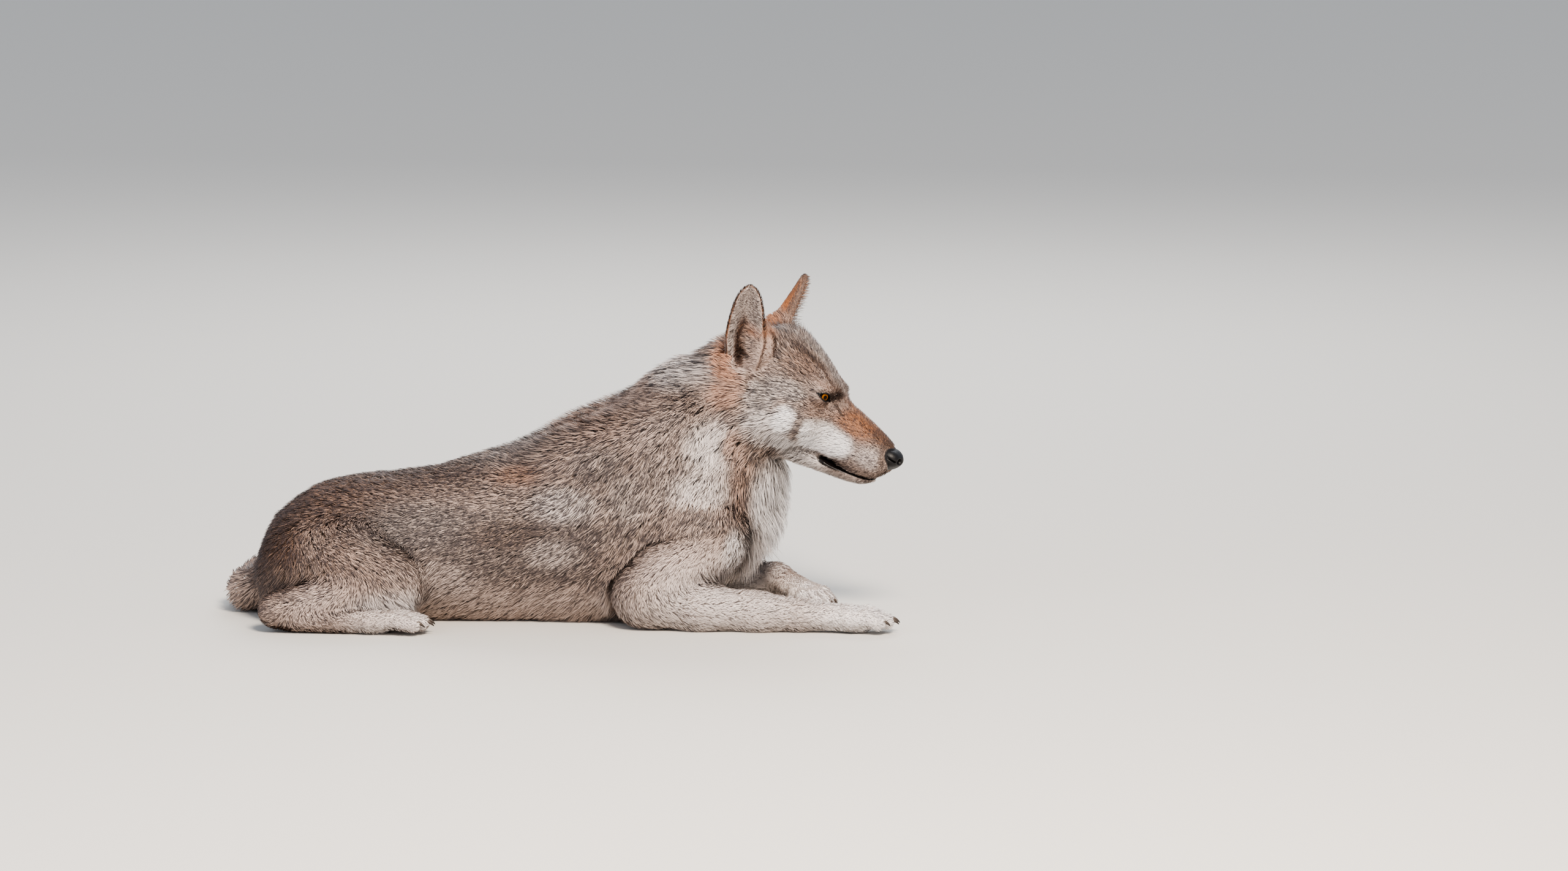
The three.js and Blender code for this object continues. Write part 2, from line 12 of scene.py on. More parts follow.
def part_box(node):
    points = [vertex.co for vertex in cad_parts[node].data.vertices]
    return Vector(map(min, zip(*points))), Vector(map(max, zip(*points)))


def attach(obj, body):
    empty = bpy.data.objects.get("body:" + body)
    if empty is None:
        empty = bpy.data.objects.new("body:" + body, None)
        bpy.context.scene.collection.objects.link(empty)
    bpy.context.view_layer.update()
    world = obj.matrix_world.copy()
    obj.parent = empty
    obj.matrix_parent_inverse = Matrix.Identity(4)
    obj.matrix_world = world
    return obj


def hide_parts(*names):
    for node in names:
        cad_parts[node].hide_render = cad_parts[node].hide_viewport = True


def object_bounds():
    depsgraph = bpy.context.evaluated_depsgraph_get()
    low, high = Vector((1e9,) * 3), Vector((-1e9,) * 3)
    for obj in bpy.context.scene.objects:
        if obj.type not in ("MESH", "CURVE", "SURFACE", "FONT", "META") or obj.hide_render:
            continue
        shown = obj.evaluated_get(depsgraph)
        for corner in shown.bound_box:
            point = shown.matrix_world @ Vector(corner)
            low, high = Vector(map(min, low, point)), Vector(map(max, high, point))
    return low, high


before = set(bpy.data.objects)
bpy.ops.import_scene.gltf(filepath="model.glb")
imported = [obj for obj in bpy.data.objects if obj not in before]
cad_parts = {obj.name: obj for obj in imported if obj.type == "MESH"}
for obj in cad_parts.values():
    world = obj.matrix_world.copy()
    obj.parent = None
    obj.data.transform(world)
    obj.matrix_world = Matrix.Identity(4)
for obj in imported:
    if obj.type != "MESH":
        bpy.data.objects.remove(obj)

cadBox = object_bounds()
mm = 0.001
dice = np.random.default_rng(7)


def unit(v):
    v = np.asarray(v, float)
    return v / np.maximum(np.linalg.norm(v, axis=-1, keepdims=True), 1e-9)


def smoothStep(low, high, x):
    t = np.clip((x - low) / (high - low), 0, 1)
    return t * t * (3 - 2 * t)


view = {
    "target": (0.318, 0.0, 0.2548),
    "distance": 12.0,
    "elevation": 9.0,  # degrees above the floor
    "width": 2.207,  # metres across the frame at the wolf
    "sensor": 36.0,
}
light = {
    "target": (0.05, 0, 0.2),
    "key": {"at": (0.9, -3.2, 3.4), "size": 1.2, "watts": 335, "colour": "#FFF1E2"},
    "fill": {"at": (-3.2, -2.4, 1.6), "size": 2.6, "watts": 30, "colour": "#EAF1FF"},
    "rim": {"at": (0.4, 3.0, 2.6), "size": 2.0, "watts": 70, "colour": "#FFFFFF"},
    "sky": "#E2E9F4",
    "skyStrength": 0.68,
    "floor": "#D9D6D0",
}


def linear(hexColour):
    parts = [int(hexColour[i:i + 2], 16) / 255 for i in (1, 3, 5)]
    return tuple(c / 12.92 if c <= 0.04045 else ((c + 0.055) / 1.055) ** 2.4 for c in parts) + (1.0,)


def addNode(tree, kind, inputs, **settings):
    # An input is another node's output, which is linked, or a plain value.
    node = tree.nodes.new("ShaderNode" + kind)
    for name, value in settings.items():
        setattr(node, name, value)
    for name, value in inputs.items():
        if isinstance(value, bpy.types.NodeSocket):
            tree.links.new(value, node.inputs[name])
        else:
            node.inputs[name].default_value = value
    return node


def newMaterial(name, roughness, ior=1.5, sheen=0.0, coat=0.0):
    material = bpy.data.materials.new(name)
    material.use_nodes = True
    shader = material.node_tree.nodes["Principled BSDF"]
    shader.inputs["Roughness"].default_value = roughness
    shader.inputs["IOR"].default_value = ior
    shader.inputs["Sheen Weight"].default_value = sheen
    shader.inputs["Coat Weight"].default_value = coat
    return material, material.node_tree, shader


def addObject(name, data):
    made = bpy.data.objects.new(name, data)
    bpy.context.collection.objects.link(made)
    return made


def addPiece(name, mesh, material, nodes=()):
    mesh.materials.append(material)
    piece = addObject(name, mesh)
    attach(piece, "root")
    if nodes:
        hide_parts(*nodes)
    return piece


def aim(thing, target):
    way = Vector(target) - thing.location
    thing.rotation_euler = way.to_track_quat("-Z", "Y").to_euler()


def setStage():
    tilt = math.radians(view["elevation"])
    camera = addObject("camera", bpy.data.cameras.new("camera"))
    back = Vector((0, -math.cos(tilt), math.sin(tilt))) * view["distance"]
    camera.location = Vector(view["target"]) + back
    camera.data.sensor_width = view["sensor"]
    camera.data.lens = view["sensor"] * view["distance"] / view["width"]
    camera.data.clip_end = 200
    aim(camera, view["target"])
    bpy.context.scene.camera = camera
    for name in ("key", "fill", "rim"):
        lamp = light[name]
        data = bpy.data.lights.new(name, "AREA")
        data.size = lamp["size"]
        data.energy = lamp["watts"]
        data.color = linear(lamp["colour"])[:3]
        made = addObject(name, data)
        made.location = lamp["at"]
        aim(made, light["target"])
    bpy.context.scene.view_settings.look = "AgX - Medium High Contrast"
    world = bpy.data.worlds.new("studio")
    bpy.context.scene.world = world
    world.use_nodes = True
    sky = world.node_tree.nodes["Background"]
    sky.inputs["Color"].default_value = linear(light["sky"])
    sky.inputs["Strength"].default_value = light["skyStrength"]
    # Emulsion paint, rolled on a smooth floor: dead flat, so that it shows only the soft shadow.
    material, _, shader = newMaterial("studioFloorPaint", 0.85)
    shader.inputs["Base Color"].default_value = linear(light["floor"])
    mesh = bpy.data.meshes.new("floor")
    mesh.from_pydata([(-30, -20, 0), (30, -20, 0), (30, 40, 0), (-30, 40, 0)], [], [(0, 1, 2, 3)])
    mesh.materials.append(material)
    addObject("floor", mesh)
    print("stage set")


setStage()


def boxMiddle(node):
    low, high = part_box(node)
    return np.array((low + high) / 2) / mm


# The head's own frame: forwards along the mouth, left, up. Its origin is between the eyes.
eyes = {"radius": 11.5, "back": 2.0, "dip": 20.0}
eyeLeft, eyeRight = boxMiddle("eye_left"), boxMiddle("eye_right")
headLeft = unit(eyeLeft - eyeRight)
headLevel = unit(np.cross(headLeft, (0, 0, 1)))
dip = math.radians(eyes["dip"])
headAhead = headLevel * math.cos(dip) - np.array((0, 0, 1)) * math.sin(dip)
headUp = np.cross(headAhead, headLeft)
headOrigin = (eyeLeft + eyeRight) / 2 + headAhead * eyes["back"]
headAxes = np.stack([headAhead, headLeft, headUp])
eyeSpread = np.linalg.norm(eyeLeft - eyeRight) / 2


def toHead(points):
    return (points - headOrigin) @ headAxes.T


def fromHead(points):
    return np.asarray(points, float) @ headAxes + headOrigin


def toHalfHead(points):
    # The head's frame with its right side folded onto its left.
    q = toHead(points)
    q[:, 1] = np.abs(q[:, 1])
    return q


# Each section gives the outline of the coat, and how deep the coat is there.
trunkSections = [  # x, z, half height, half width, coat
    (-374, 42, 46, 66, 13), (-346, 65, 76, 86, 13), (-300, 86, 98, 96, 14), (-240, 95, 99, 97, 14),
    (-150, 100, 105, 100, 14), (-70, 110, 116, 104, 15), (20, 120, 130, 106, 17),
    (96, 132, 130, 104, 21), (170, 144, 108, 92, 25),
]
neckSections = [  # x, z, half height, half width, coat, y
    (132, 156, 118, 98, 28, 0), (182, 210, 118, 94, 30, 0), (220, 262, 106, 86, 28, -3),
    (260, 318, 84, 74, 21, -8),
]
headRows = [  # ahead, top, height of the widest place, bottom, half width, coat
    (-150, 30, -30, -100, 62, 22), (-107, 55, -36, -112, 68, 15), (-85, 65, -36, -112, 70, 12),
    (-68, 66, -36, -111, 70, 11), (-50, 60, -36, -108, 68, 10), (-34, 52.5, -36, -104, 64, 9),
    (-16, 42, -36, -98, 58, 7), (0, 31, -37, -93, 50, 6), (13, 19, -40, -90, 43.5, 5),
    (24, 6, -46, -88, 39, 4.5), (38, -3, -53, -88, 36, 4), (57, -10, -60, -87, 34, 3.5),
    (74, -16.5, -63, -87, 32, 3), (93, -24, -65, -87, 30, 3), (106, -30, -63, -84, 27, 2.5),
    (115, -35, -58, -76, 22, 2.2),
]
jawRows = [  # the same, for the lower jaw
    (-60, -62, -84, -118, 52, 22), (-30, -66, -86, -113, 44, 14), (0, -72, -90, -110, 36, 8),
    (28, -78, -93, -108, 30, 5), (55, -82, -95, -107, 26, 4), (78, -82, -95, -105, 22.5, 3),
    (96, -82, -92, -100, 18, 3), (104, -82, -89, -95, 12, 3),
]
withersSections = [(84, 223, 50, 84, 12), (170, 288, 50, 84, 12)]  # fills the crook of neck and back
# Muscles and tufts over them: middle, radii, coat, the way the coat lies, region.
breastBall = ((232, 0, 152), (82, 74, 84), 30, (-0.25, 0, -1), "breast")
bodyBalls = [  # on both sides: (x, out, z), ...
    ((110, 74, 168), (86, 42, 96), 20, (-0.6, 0, -0.8), "body"),
    ((92, 58, 222), (88, 42, 52), 22, (-0.85, 0, -0.35), "body"),
    ((194, 84, 148), (52, 34, 42), 20, (-0.5, 0, -0.9), "breast"),
    ((-316, 64, 84), (84, 54, 70), 14, (-0.75, 0, -0.65), "body"),
]
headBalls = [  # on both sides: (ahead, out, up), ...
    ((-38, 47, -40), (48, 22, 30), 11, (-1, 0, -0.25), "head"),
    ((-86, 50, -60), (46, 34, 50), 24, (-0.85, 0.2, -0.6), "cheek"),
    ((-7, 27, 10), (16, 9, 6), 3.5, (-1, 0, 0), "head"),
    ((88, 18, -68), (26, 13, 17), 3, (-1, 0, 0), "head"),
    ((-112, 44, 28), (26, 20, 34), 7, (-0.6, 0, -0.4), "head"),
    ((-101, 47, 30), (21, 16, 28), 5, (-0.9, 0, -0.4), "head"),
]
limbs = {  # name: (x, out from the middle, z, radius, coat) from the body outwards
    "frontRight": {
        "side": -1, "melt": 24,
        "upper": [(212, 74, 112, 50, 13), (166, 98, 80, 50, 12), (124, 112, 52, 46, 10)],
        "lower": [(124, 114, 40, 41, 9), (200, 126, 32, 34, 7), (280, 134, 26, 27, 6), (338, 138, 23, 25, 5)],
        "paw": [(342, 139, 23), (452, 150, 16)],
    },
    "frontLeft": {
        "side": 1, "melt": 24,
        "upper": [(206, 74, 112, 50, 13), (160, 98, 80, 50, 12), (118, 112, 52, 46, 10)],
        "lower": [(118, 114, 40, 41, 9), (190, 108, 34, 35, 7), (258, 88, 34, 28, 6), (306, 68, 38, 25, 5)],
        "paw": [(310, 64, 38), (368, -14, 17)],
    },
    "hindRight": {
        "side": -1, "melt": 26,
        "upper": [(-330, 66, 84, 60, 14), (-290, 92, 78, 62, 14), (-240, 110, 66, 52, 12)],
        "lower": [(-240, 114, 52, 47, 12), (-310, 128, 42, 38, 10), (-390, 142, 30, 27, 6)],
        "paw": [(-366, 144, 21), (-196, 158, 15)],
    },
    "hindLeft": {
        "side": 1, "melt": 26,
        "upper": [(-330, 64, 84, 60, 14), (-292, 90, 78, 62, 14), (-248, 106, 66, 52, 12)],
        "lower": [(-248, 110, 52, 47, 12), (-312, 116, 42, 38, 10), (-374, 120, 30, 27, 6)],
        "paw": [(-352, 124, 21), (-192, 142, 15)],
    },
}
tailSections = [  # x, y, z, radius, coat
    (-412, 2, 44, 30, 18), (-442, 22, 30, 28, 18), (-444, 66, 28, 27, 18), (-428, 128, 30, 31, 21),
    (-384, 184, 34, 37, 26), (-312, 220, 35, 39, 28), (-236, 236, 26, 29, 21), (-184, 238, 14, 15, 9),
]
earShapes = {
    "earRight": {"side": -1, "root": (-122, 50, 5), "tip": (-143, 68, 117), "facing": (0.3, 0.95, 0.1)},
    "earLeft": {"side": 1, "root": (-108, 48, 20), "tip": (-108, 74, 127), "facing": (0.96, 0.28, 0)},
}
earSizes = {
    "halfWidth": 26, "cup": 24, "thickness": 6.0, "coat": 1.8,
    "foot": -0.25, "footShare": 0.74, "footRun": 0.3,  # how far it goes down into the head, and narrows
    "forward": 8, "edge": 4,
}
toes = {
    "spread": (-1.5, -0.5, 0.5, 1.5), "pitch": 14.0, "reach": (0, 11, 11, 0),
    "coat": 3.2, "heel": (17, 17, 14),
}

# A shape is a dictionary: how to measure the distance to it, and how the coat lies on it.
shapes = []


def melt(a, b, k):
    h = np.maximum(k - np.abs(a - b), 0) / k
    return np.minimum(a, b) - h * h * k / 4


def addLength(part, start, end, up=(0, 0, 1), flow=1, region="body"):
    at0, at1 = np.asarray(start["at"], float), np.asarray(end["at"], float)
    run = at1 - at0
    long = np.linalg.norm(run)
    along = run / long
    side = unit(np.cross(up, along))
    shape = {
        "part": part, "kind": "length", "at": at0, "along": along, "long": long, "side": side,
        "up": np.cross(along, side), "ups": (start["up"], end["up"]), "sides": (start["wide"], end["wide"]),
        "coats": (start["coat"], end["coat"]), "flow": along * flow, "region": region,
        "middle": (at0 + at1) / 2,
        "reach": long / 2 + max(start["up"], end["up"], start["wide"], end["wide"]),
    }
    shapes.append(shape)


def addChain(part, sections, **more):
    for start, end in zip(sections, sections[1:]):
        addLength(part, start, end, **more)


def addBall(part, middle, radii, coat, flow, region, inHead=False):
    axes = headAxes if inHead else np.eye(3)
    middle = fromHead(middle) if inHead else np.asarray(middle, float)
    flow = unit(np.asarray(flow, float) @ axes)
    shapes.append({
        "part": part, "kind": "ball", "at": middle, "axes": axes, "radii": np.asarray(radii, float),
        "coats": (coat, coat), "flow": flow, "region": region, "middle": middle, "reach": max(radii),
    })


def addHull(part, rows, region, cap):
    rows = np.asarray(rows, float)
    middle = fromHead(((rows[0, 0] + rows[-1, 0]) / 2, 0, -30))
    shapes.append({
        "part": part, "kind": "hull", "rows": rows, "flow": -headAhead, "region": region, "cap": cap,
        "middle": middle, "reach": (rows[-1, 0] - rows[0, 0]) / 2 + 90,
    })


def measure(shape, points, bare=True):
    # Distance to one shape, and how deep its coat is there. Bare takes the coat off.
    if shape["kind"] == "length":
        offset = points - shape["at"]
        s = offset @ shape["along"]
        t = np.clip(s / shape["long"], 0, 1)
        coat = shape["coats"][0] + (shape["coats"][1] - shape["coats"][0]) * t
        off = coat if bare else 0
        halfUp = shape["ups"][0] + (shape["ups"][1] - shape["ups"][0]) * t - off
        halfSide = shape["sides"][0] + (shape["sides"][1] - shape["sides"][0]) * t - off
        least = np.minimum(halfUp, halfSide)
        past = s - t * shape["long"]
        r = np.sqrt((offset @ shape["up"] / halfUp) ** 2 + (offset @ shape["side"] / halfSide) ** 2
                    + (past / least) ** 2)
        return (r - 1) * least, coat
    if shape["kind"] == "ball":
        radii = shape["radii"] - (shape["coats"][0] if bare else 0)
        q = (points - shape["at"]) @ shape["axes"].T / radii
        return (np.linalg.norm(q, axis=1) - 1) * radii.min(), np.full(len(points), float(shape["coats"][0]))
    if shape["kind"] == "hull":
        q = toHead(points)
        a = np.clip(q[:, 0], shape["rows"][0, 0], shape["rows"][-1, 0])
        top, wide, bottom, half, coat = [smoothRows(shape["rows"], a, c) for c in range(1, 6)]
        off = coat if bare else 0
        upper = q[:, 2] > wide
        high = np.maximum(np.where(upper, top - wide, wide - bottom) - off, 4)
        half = half - off
        power = np.where(upper, 2.15, 2.6)
        past = (q[:, 0] - a) / (shape["cap"] * np.minimum(high, half))
        r = (np.abs(q[:, 1] / half) ** power + np.abs((q[:, 2] - wide) / high) ** power
             + np.abs(past) ** power) ** (1 / power)
        return (r - 1) * np.minimum(high, half), coat
    return earDistance(shape, points)


def smoothRows(rows, x, column):
    # A smooth curve through the rows (Catmull-Rom on uneven steps).
    xs, ys = rows[:, 0], rows[:, column]
    slopes = np.gradient(ys, xs)
    i = np.clip(np.searchsorted(xs, x) - 1, 0, len(xs) - 2)
    step = xs[i + 1] - xs[i]
    t = (x - xs[i]) / step
    return (ys[i] * (1 + 2 * t) * (1 - t) ** 2 + slopes[i] * step * t * (1 - t) ** 2
            + ys[i + 1] * t * t * (3 - 2 * t) + slopes[i + 1] * step * t * t * (t - 1))


def addEar(name, ear):
    side = ear["side"]
    flip = np.array((1, side, 1))
    root, tip = fromHead(np.array(ear["root"]) * flip), fromHead(np.array(ear["tip"]) * flip)
    up = unit(tip - root)
    facing = (np.array(ear["facing"]) * flip) @ headAxes
    facing = unit(facing - up * (facing @ up))
    shapes.append({
        "part": name, "kind": "ear", "at": root, "up": up, "long": np.linalg.norm(tip - root), "open": facing,
        "across": np.cross(facing, up), "flow": up, "region": name, "middle": (root + tip) / 2, "reach": 75,
        "coats": (earSizes["coat"], earSizes["coat"]),
    })


def earPlace(ear, points):
    # s along the ear, t across it, w towards the opening from the shell's middle surface
    q = points - ear["at"]
    s = q @ ear["up"] / ear["long"]
    x = q @ ear["across"]
    sIn = np.clip(s, earSizes["foot"], 0.999)
    share = earSizes["footShare"]
    width = earSizes["halfWidth"] * np.sqrt(1 - np.maximum(sIn, 0) ** 3)
    width = width * (share + (1 - share) * np.minimum(sIn / earSizes["footRun"], 1))
    t = x / np.maximum(width, 2)
    hollow = earSizes["cup"] * (1 - np.minimum(t * t, 1.4)) * (1 - 0.9 * sIn)
    w = q @ ear["open"] - (earSizes["forward"] - hollow)
    return s, t, w, x, width


def earDistance(ear, points):
    s, t, w, x, width = earPlace(ear, points)
    steep = np.sqrt(1 + (2 * earSizes["cup"] * np.minimum(np.abs(t), 1.2) / earSizes["halfWidth"]) ** 2)
    shell = np.abs(w) / steep - earSizes["thickness"] / 2 * (1 - 0.35 * np.clip(s, 0, 1))
    edge = (np.abs(x) - width) / np.sqrt(1 + 2.2 * np.clip(s, 0, 1) ** 6)
    over = np.maximum((s - 1) * ear["long"], (earSizes["foot"] - s) * ear["long"])
    d = -melt(-shell, -np.maximum(edge, over), earSizes["edge"])
    return d, np.full(len(points), float(earSizes["coat"]))


def section(at, up, wide, coat):
    return {"at": at, "up": up, "wide": wide, "coat": coat}


def addPaw(part, side, ends, region):
    start, end = [np.array((x, side * out, z), float) for x, out, z in ends]
    ahead = end - start
    ahead[2] = 0
    ahead = unit(ahead)
    across = np.array((-ahead[1], ahead[0], 0))
    knuckle = start + (end - start) * 0.62
    knuckle[2] = max(knuckle[2], end[2] + 4)
    coat = toes["coat"]
    rings = [section(start, 21, 22, coat + 1.5), section(knuckle, 20, 25, coat)]
    addChain(part + "Foot", rings, region=region)
    pad = knuckle + ahead * 14
    addBall(part + "Foot", (pad[0], pad[1], 13), toes["heel"], 1.5, ahead, region)
    tips = []
    for spread, reach in zip(toes["spread"], toes["reach"]):
        tip = end + across * spread * toes["pitch"] + ahead * reach
        root = knuckle + across * spread * toes["pitch"] * 0.75
        middle = tip + (root - tip) * 0.45 + np.array((0, 0, 5.5))
        rings = [section(root, 13.5, 12.5, coat), section(middle, 13, 11.3, coat)]
        addChain(part + "Toes", rings + [section(tip, 10.5, 9.6, coat - 0.7)], region=region)
        tips.append(tip)
    return {"tips": tips, "ahead": ahead, "across": across}


def buildShapes():
    addChain("trunk", [section((x, 0, z), up, wide, coat) for x, z, up, wide, coat in trunkSections], flow=-1)
    addBall("trunk", *breastBall)
    for side in (1, -1):
        for (x, out, z), radii, coat, flow, region in bodyBalls:
            addBall("trunk", (x, side * out, z), radii, coat, flow, region)
    rings = [section((x, y, z), up, wide, coat) for x, z, up, wide, coat, y in neckSections]
    addChain("neck", rings, flow=-1, region="neck")
    addChain("neck", [section((x, 0, z), up, wide, coat) for x, z, up, wide, coat in withersSections],
             flow=-1, region="neck")
    addHull("skull", headRows, "head", 0.3)
    addHull("jaw", jawRows, "head", 0.5)
    for side in (1, -1):
        for (ahead, out, above), radii, coat, (back, apart, rise), region in headBalls:
            flow = (back, side * apart, rise)
            addBall("skull", (ahead, side * out, above), radii, coat, flow, region, True)
    feet = {}
    for name, limb in limbs.items():
        side = limb["side"]
        for stretch in ("upper", "lower"):
            rings = [section((x, side * out, z), r, r, coat) for x, out, z, r, coat in limb[stretch]]
            addChain(name, rings, region="leg" if stretch == "lower" else "body")
        feet[name] = addPaw(name, side, limb["paw"], "paw")
    rings = [section((x, y, z), r, r, coat) for x, y, z, r, coat in tailSections]
    addChain("tail", rings, region="tail")
    for name, ear in earShapes.items():
        addEar(name, ear)
    return feet


feet = buildShapes()
middles = np.array([shape["middle"] for shape in shapes])
reaches = np.array([shape["reach"] for shape in shapes])
print(len(shapes), "shapes")


def shapesNear(middle, margin):
    return np.nonzero(np.linalg.norm(middles - middle, axis=1) < reaches + margin)[0]


# How the parts melt together: (parts, how softly each part's own shapes join, how softly it joins the rest)
joins = [("trunk", 36, 1), ("neck", 36, 36), ("skull", 12, 20), ("jaw", 8, 5)]
joins += [(name, 20, limbs[name]["melt"]) for name in limbs]
joins += [(name + "Foot", 8, 10) for name in limbs]
joins += [(name + "Toes", 2.5, 7) for name in limbs]
joins += [("tail", 12, 14), ("earRight", 1, 9), ("earLeft", 1, 9)]

face = {
    "gaze": (0.74, 0.66, 0.12),  # where an eye looks, with the second number outwards
    "lidThickness": 1.9,
    "opening": (10.2, 4.7),  # half the length and height of the gap between the lids
    "slant": 13.0,  # degrees that the outer corner is higher
    "mouth": [(24, -83), (34, -86.5), (48, -89), (64, -90.5), (80, -90.5), (96, -89.5), (112, -88)],
    "mouthGap": 0.4,
    "mouthDepth": 4.0,
}


def eyeFrame(side):
    out = np.array((1, side, 1))
    gaze = unit(np.array(face["gaze"]) * out) @ headAxes
    centre = fromHead((-eyes["back"], side * eyeSpread, 0))
    slant = math.radians(face["slant"])
    back = unit(np.cross(headUp, gaze)) * side  # along the lids, towards the ear
    rise = np.cross(gaze, back) * side
    if rise @ headUp < 0:
        rise = -rise
    long = back * math.cos(slant) + rise * math.sin(slant)
    high = rise * math.cos(slant) - back * math.sin(slant)
    return {"centre": centre, "gaze": gaze, "long": long, "high": high}


eyeFrames = {"left": eyeFrame(1), "right": eyeFrame(-1)}


def lidGap(eye, points):
    # Negative inside the almond between the lids, in mm across the gaze.
    q = points - eye["centre"]
    u, v, w = q @ eye["long"], q @ eye["high"], q @ eye["gaze"]
    halfLong, halfHigh = face["opening"]
    x = np.clip(u / halfLong, -1.4, 1.4)
    lid = np.where(v > 0, 1.0, 0.85) * halfHigh * (1 - x * x) * (1 - 0.18 * x)
    return np.abs(v - 0.4) - lid, u, v, w


def mouthHeight(a):
    places = np.array(face["mouth"], float)
    return smoothRows(places, np.clip(a, places[0, 0], places[-1, 0]), 1)


def faceDetail(points, d):
    near = np.linalg.norm(points - fromHead((40, 0, -40)), axis=1) < 120
    if not near.any():
        return d
    p, f = points[near], d[near]
    a, l, b = toHalfHead(p).T
    for eye in eyeFrames.values():
        gap, u, v, w = lidGap(eye, p)
        round_ = np.linalg.norm(p - eye["centre"], axis=1)
        fold = np.maximum(1 - np.abs(gap - 1.3) / 1.6, 0) * (w > 0) * np.exp(-(u / 12) ** 2)
        lids = round_ - eyes["radius"] - face["lidThickness"] - 0.5 * fold
        f = melt(f, lids, 5)
        crease = np.exp(-((gap - 4.2) / 1.3) ** 2 - (u / 11) ** 2) * (w > 3) * (v > 0)
        f = f + 0.9 * crease
        hole = np.maximum(gap, 5 - w)
        f = np.maximum(f, -hole)
    mouth = mouthHeight(a)
    cut = np.maximum(np.abs(b - mouth) - face["mouthGap"], -f - face["mouthDepth"])
    cut = np.where(a > 27, cut, np.hypot(np.maximum(cut, 0), 27 - a) + 0.1)
    f = -melt(-f, cut, 1.6)
    lips = np.exp(-((b - mouth + 3.2) / 2.0) ** 2) * smoothStep(22, 34, a) * (l > 8)
    f = f - (0.7 + 1.1 * smoothStep(60, 35, a)) * lips
    furrow = np.exp(-(l / 6.5) ** 2) * smoothStep(-40, 5, a) * smoothStep(60, 25, a) * (b > -25)
    f = f + 0.9 * furrow
    philtrum = np.exp(-(l / 1.3) ** 2) * smoothStep(108, 112, a) * smoothStep(-64, -72, b)
    f = f + 1.2 * philtrum
    out = d.copy()
    out[near] = f
    return out


def field(points, chosen=None, bare=True):
    # Distance to the skin (bare) or to the outline of the coat.
    chosen = range(len(shapes)) if chosen is None else chosen
    whole = np.full(len(points), 400.0)
    for part, within, between in joins:
        d = None
        for i in chosen:
            if shapes[i]["part"] == part:
                one = measure(shapes[i], points, bare)[0]
                d = one if d is None else melt(d, one, within)
        if d is not None:
            whole = melt(whole, d, between)
    if bare:
        whole = faceDetail(points, whole)
        whole = np.maximum(whole, 0.4 - points[:, 2])  # flat where it rests on the floor
    return whole


def sample(low, count, cell, block=12):
    # The field on a grid. Blocks that no surface can reach are only marked as in or out.
    padded = (np.ceil(np.array(count) / block).astype(int)) * block
    values = np.full(padded, 9.0)
    half = block * cell / 2
    local = np.stack(np.meshgrid(*[np.arange(block)] * 3, indexing="ij"), -1).reshape(-1, 3)
    for corner in np.ndindex(*(padded // block)):
        first = np.array(corner) * block
        middle = low + (first + block / 2) * cell
        chosen = shapesNear(middle, half * 1.74 + 36)
        if len(chosen) == 0:
            continue
        place = tuple(slice(f, f + block) for f in first)
        far = field(middle[None], chosen)[0]
        if abs(far) > half * 4:
            values[place] = 9.0 if far > 0 else -9.0
        else:
            values[place] = field(low + (first + local) * cell, chosen).reshape((block,) * 3)
    return values[tuple(slice(0, n) for n in count)]


def cellPoints(values, low, cell, skip=None):
    # One point in each cell that the surface crosses, and the index of each cell's point.
    inside = values < 0
    cells = np.zeros(np.array(values.shape) - 1, np.int8)
    corners = list(np.ndindex(2, 2, 2))
    for c in corners:
        cells += inside[tuple(slice(k, n - 1 + k) for k, n in zip(c, values.shape))]
    live = (cells > 0) & (cells < 8)
    if skip is not None:
        live[skip] = False
    active = np.argwhere(live)
    index = np.full(cells.shape, -1, np.int64)
    index[tuple(active.T)] = np.arange(len(active))
    total, hits = np.zeros((len(active), 3)), np.zeros(len(active))
    at = [values[tuple((active + c).T)] for c in corners]
    for i, c in enumerate(corners):
        for axis in range(3):
            if c[axis]:
                continue
            other = at[i + (4, 2, 1)[axis]]
            crossed = (at[i] < 0) != (other < 0)
            t = np.where(crossed, at[i] / np.where(crossed, at[i] - other, 1), 0)
            place = np.tile(np.array(c, float), (len(active), 1))
            place[:, axis] += t
            total += place * crossed[:, None]
            hits += crossed
    return low + (active + total / hits[:, None]) * cell, index


def crossedEdges(values, axis):
    # The grid edges along one axis that the surface cuts, and which way each one leaves the inside.
    inside = values < 0
    a = np.take(inside, range(values.shape[axis] - 1), axis)
    b = np.take(inside, range(1, values.shape[axis]), axis)
    edges = np.argwhere(a != b)
    return edges, a[tuple(edges.T)]


def ringAround(edges, axis):
    p, q = np.eye(3, dtype=int)[[(axis + 1) % 3, (axis + 2) % 3]]
    return [edges - p - q, edges - q, edges, edges - p]


def twice(values, axis):
    # Values at double the spacing, the new ones halfway.
    n = values.shape[axis]
    low, high = np.take(values, range(n - 1), axis), np.take(values, range(1, n), axis)
    shape = list(values.shape)
    shape[axis] = 2 * n - 1
    out = np.empty(shape)
    even, odd = [slice(None)] * values.ndim, [slice(None)] * values.ndim
    even[axis], odd[axis] = slice(0, None, 2), slice(1, None, 2)
    out[tuple(even)], out[tuple(odd)] = values, (low + high) / 2
    return out


net = {"cell": 3.0, "margin": 9, "headFrom": (238, 200)}  # the head's cells are half as wide


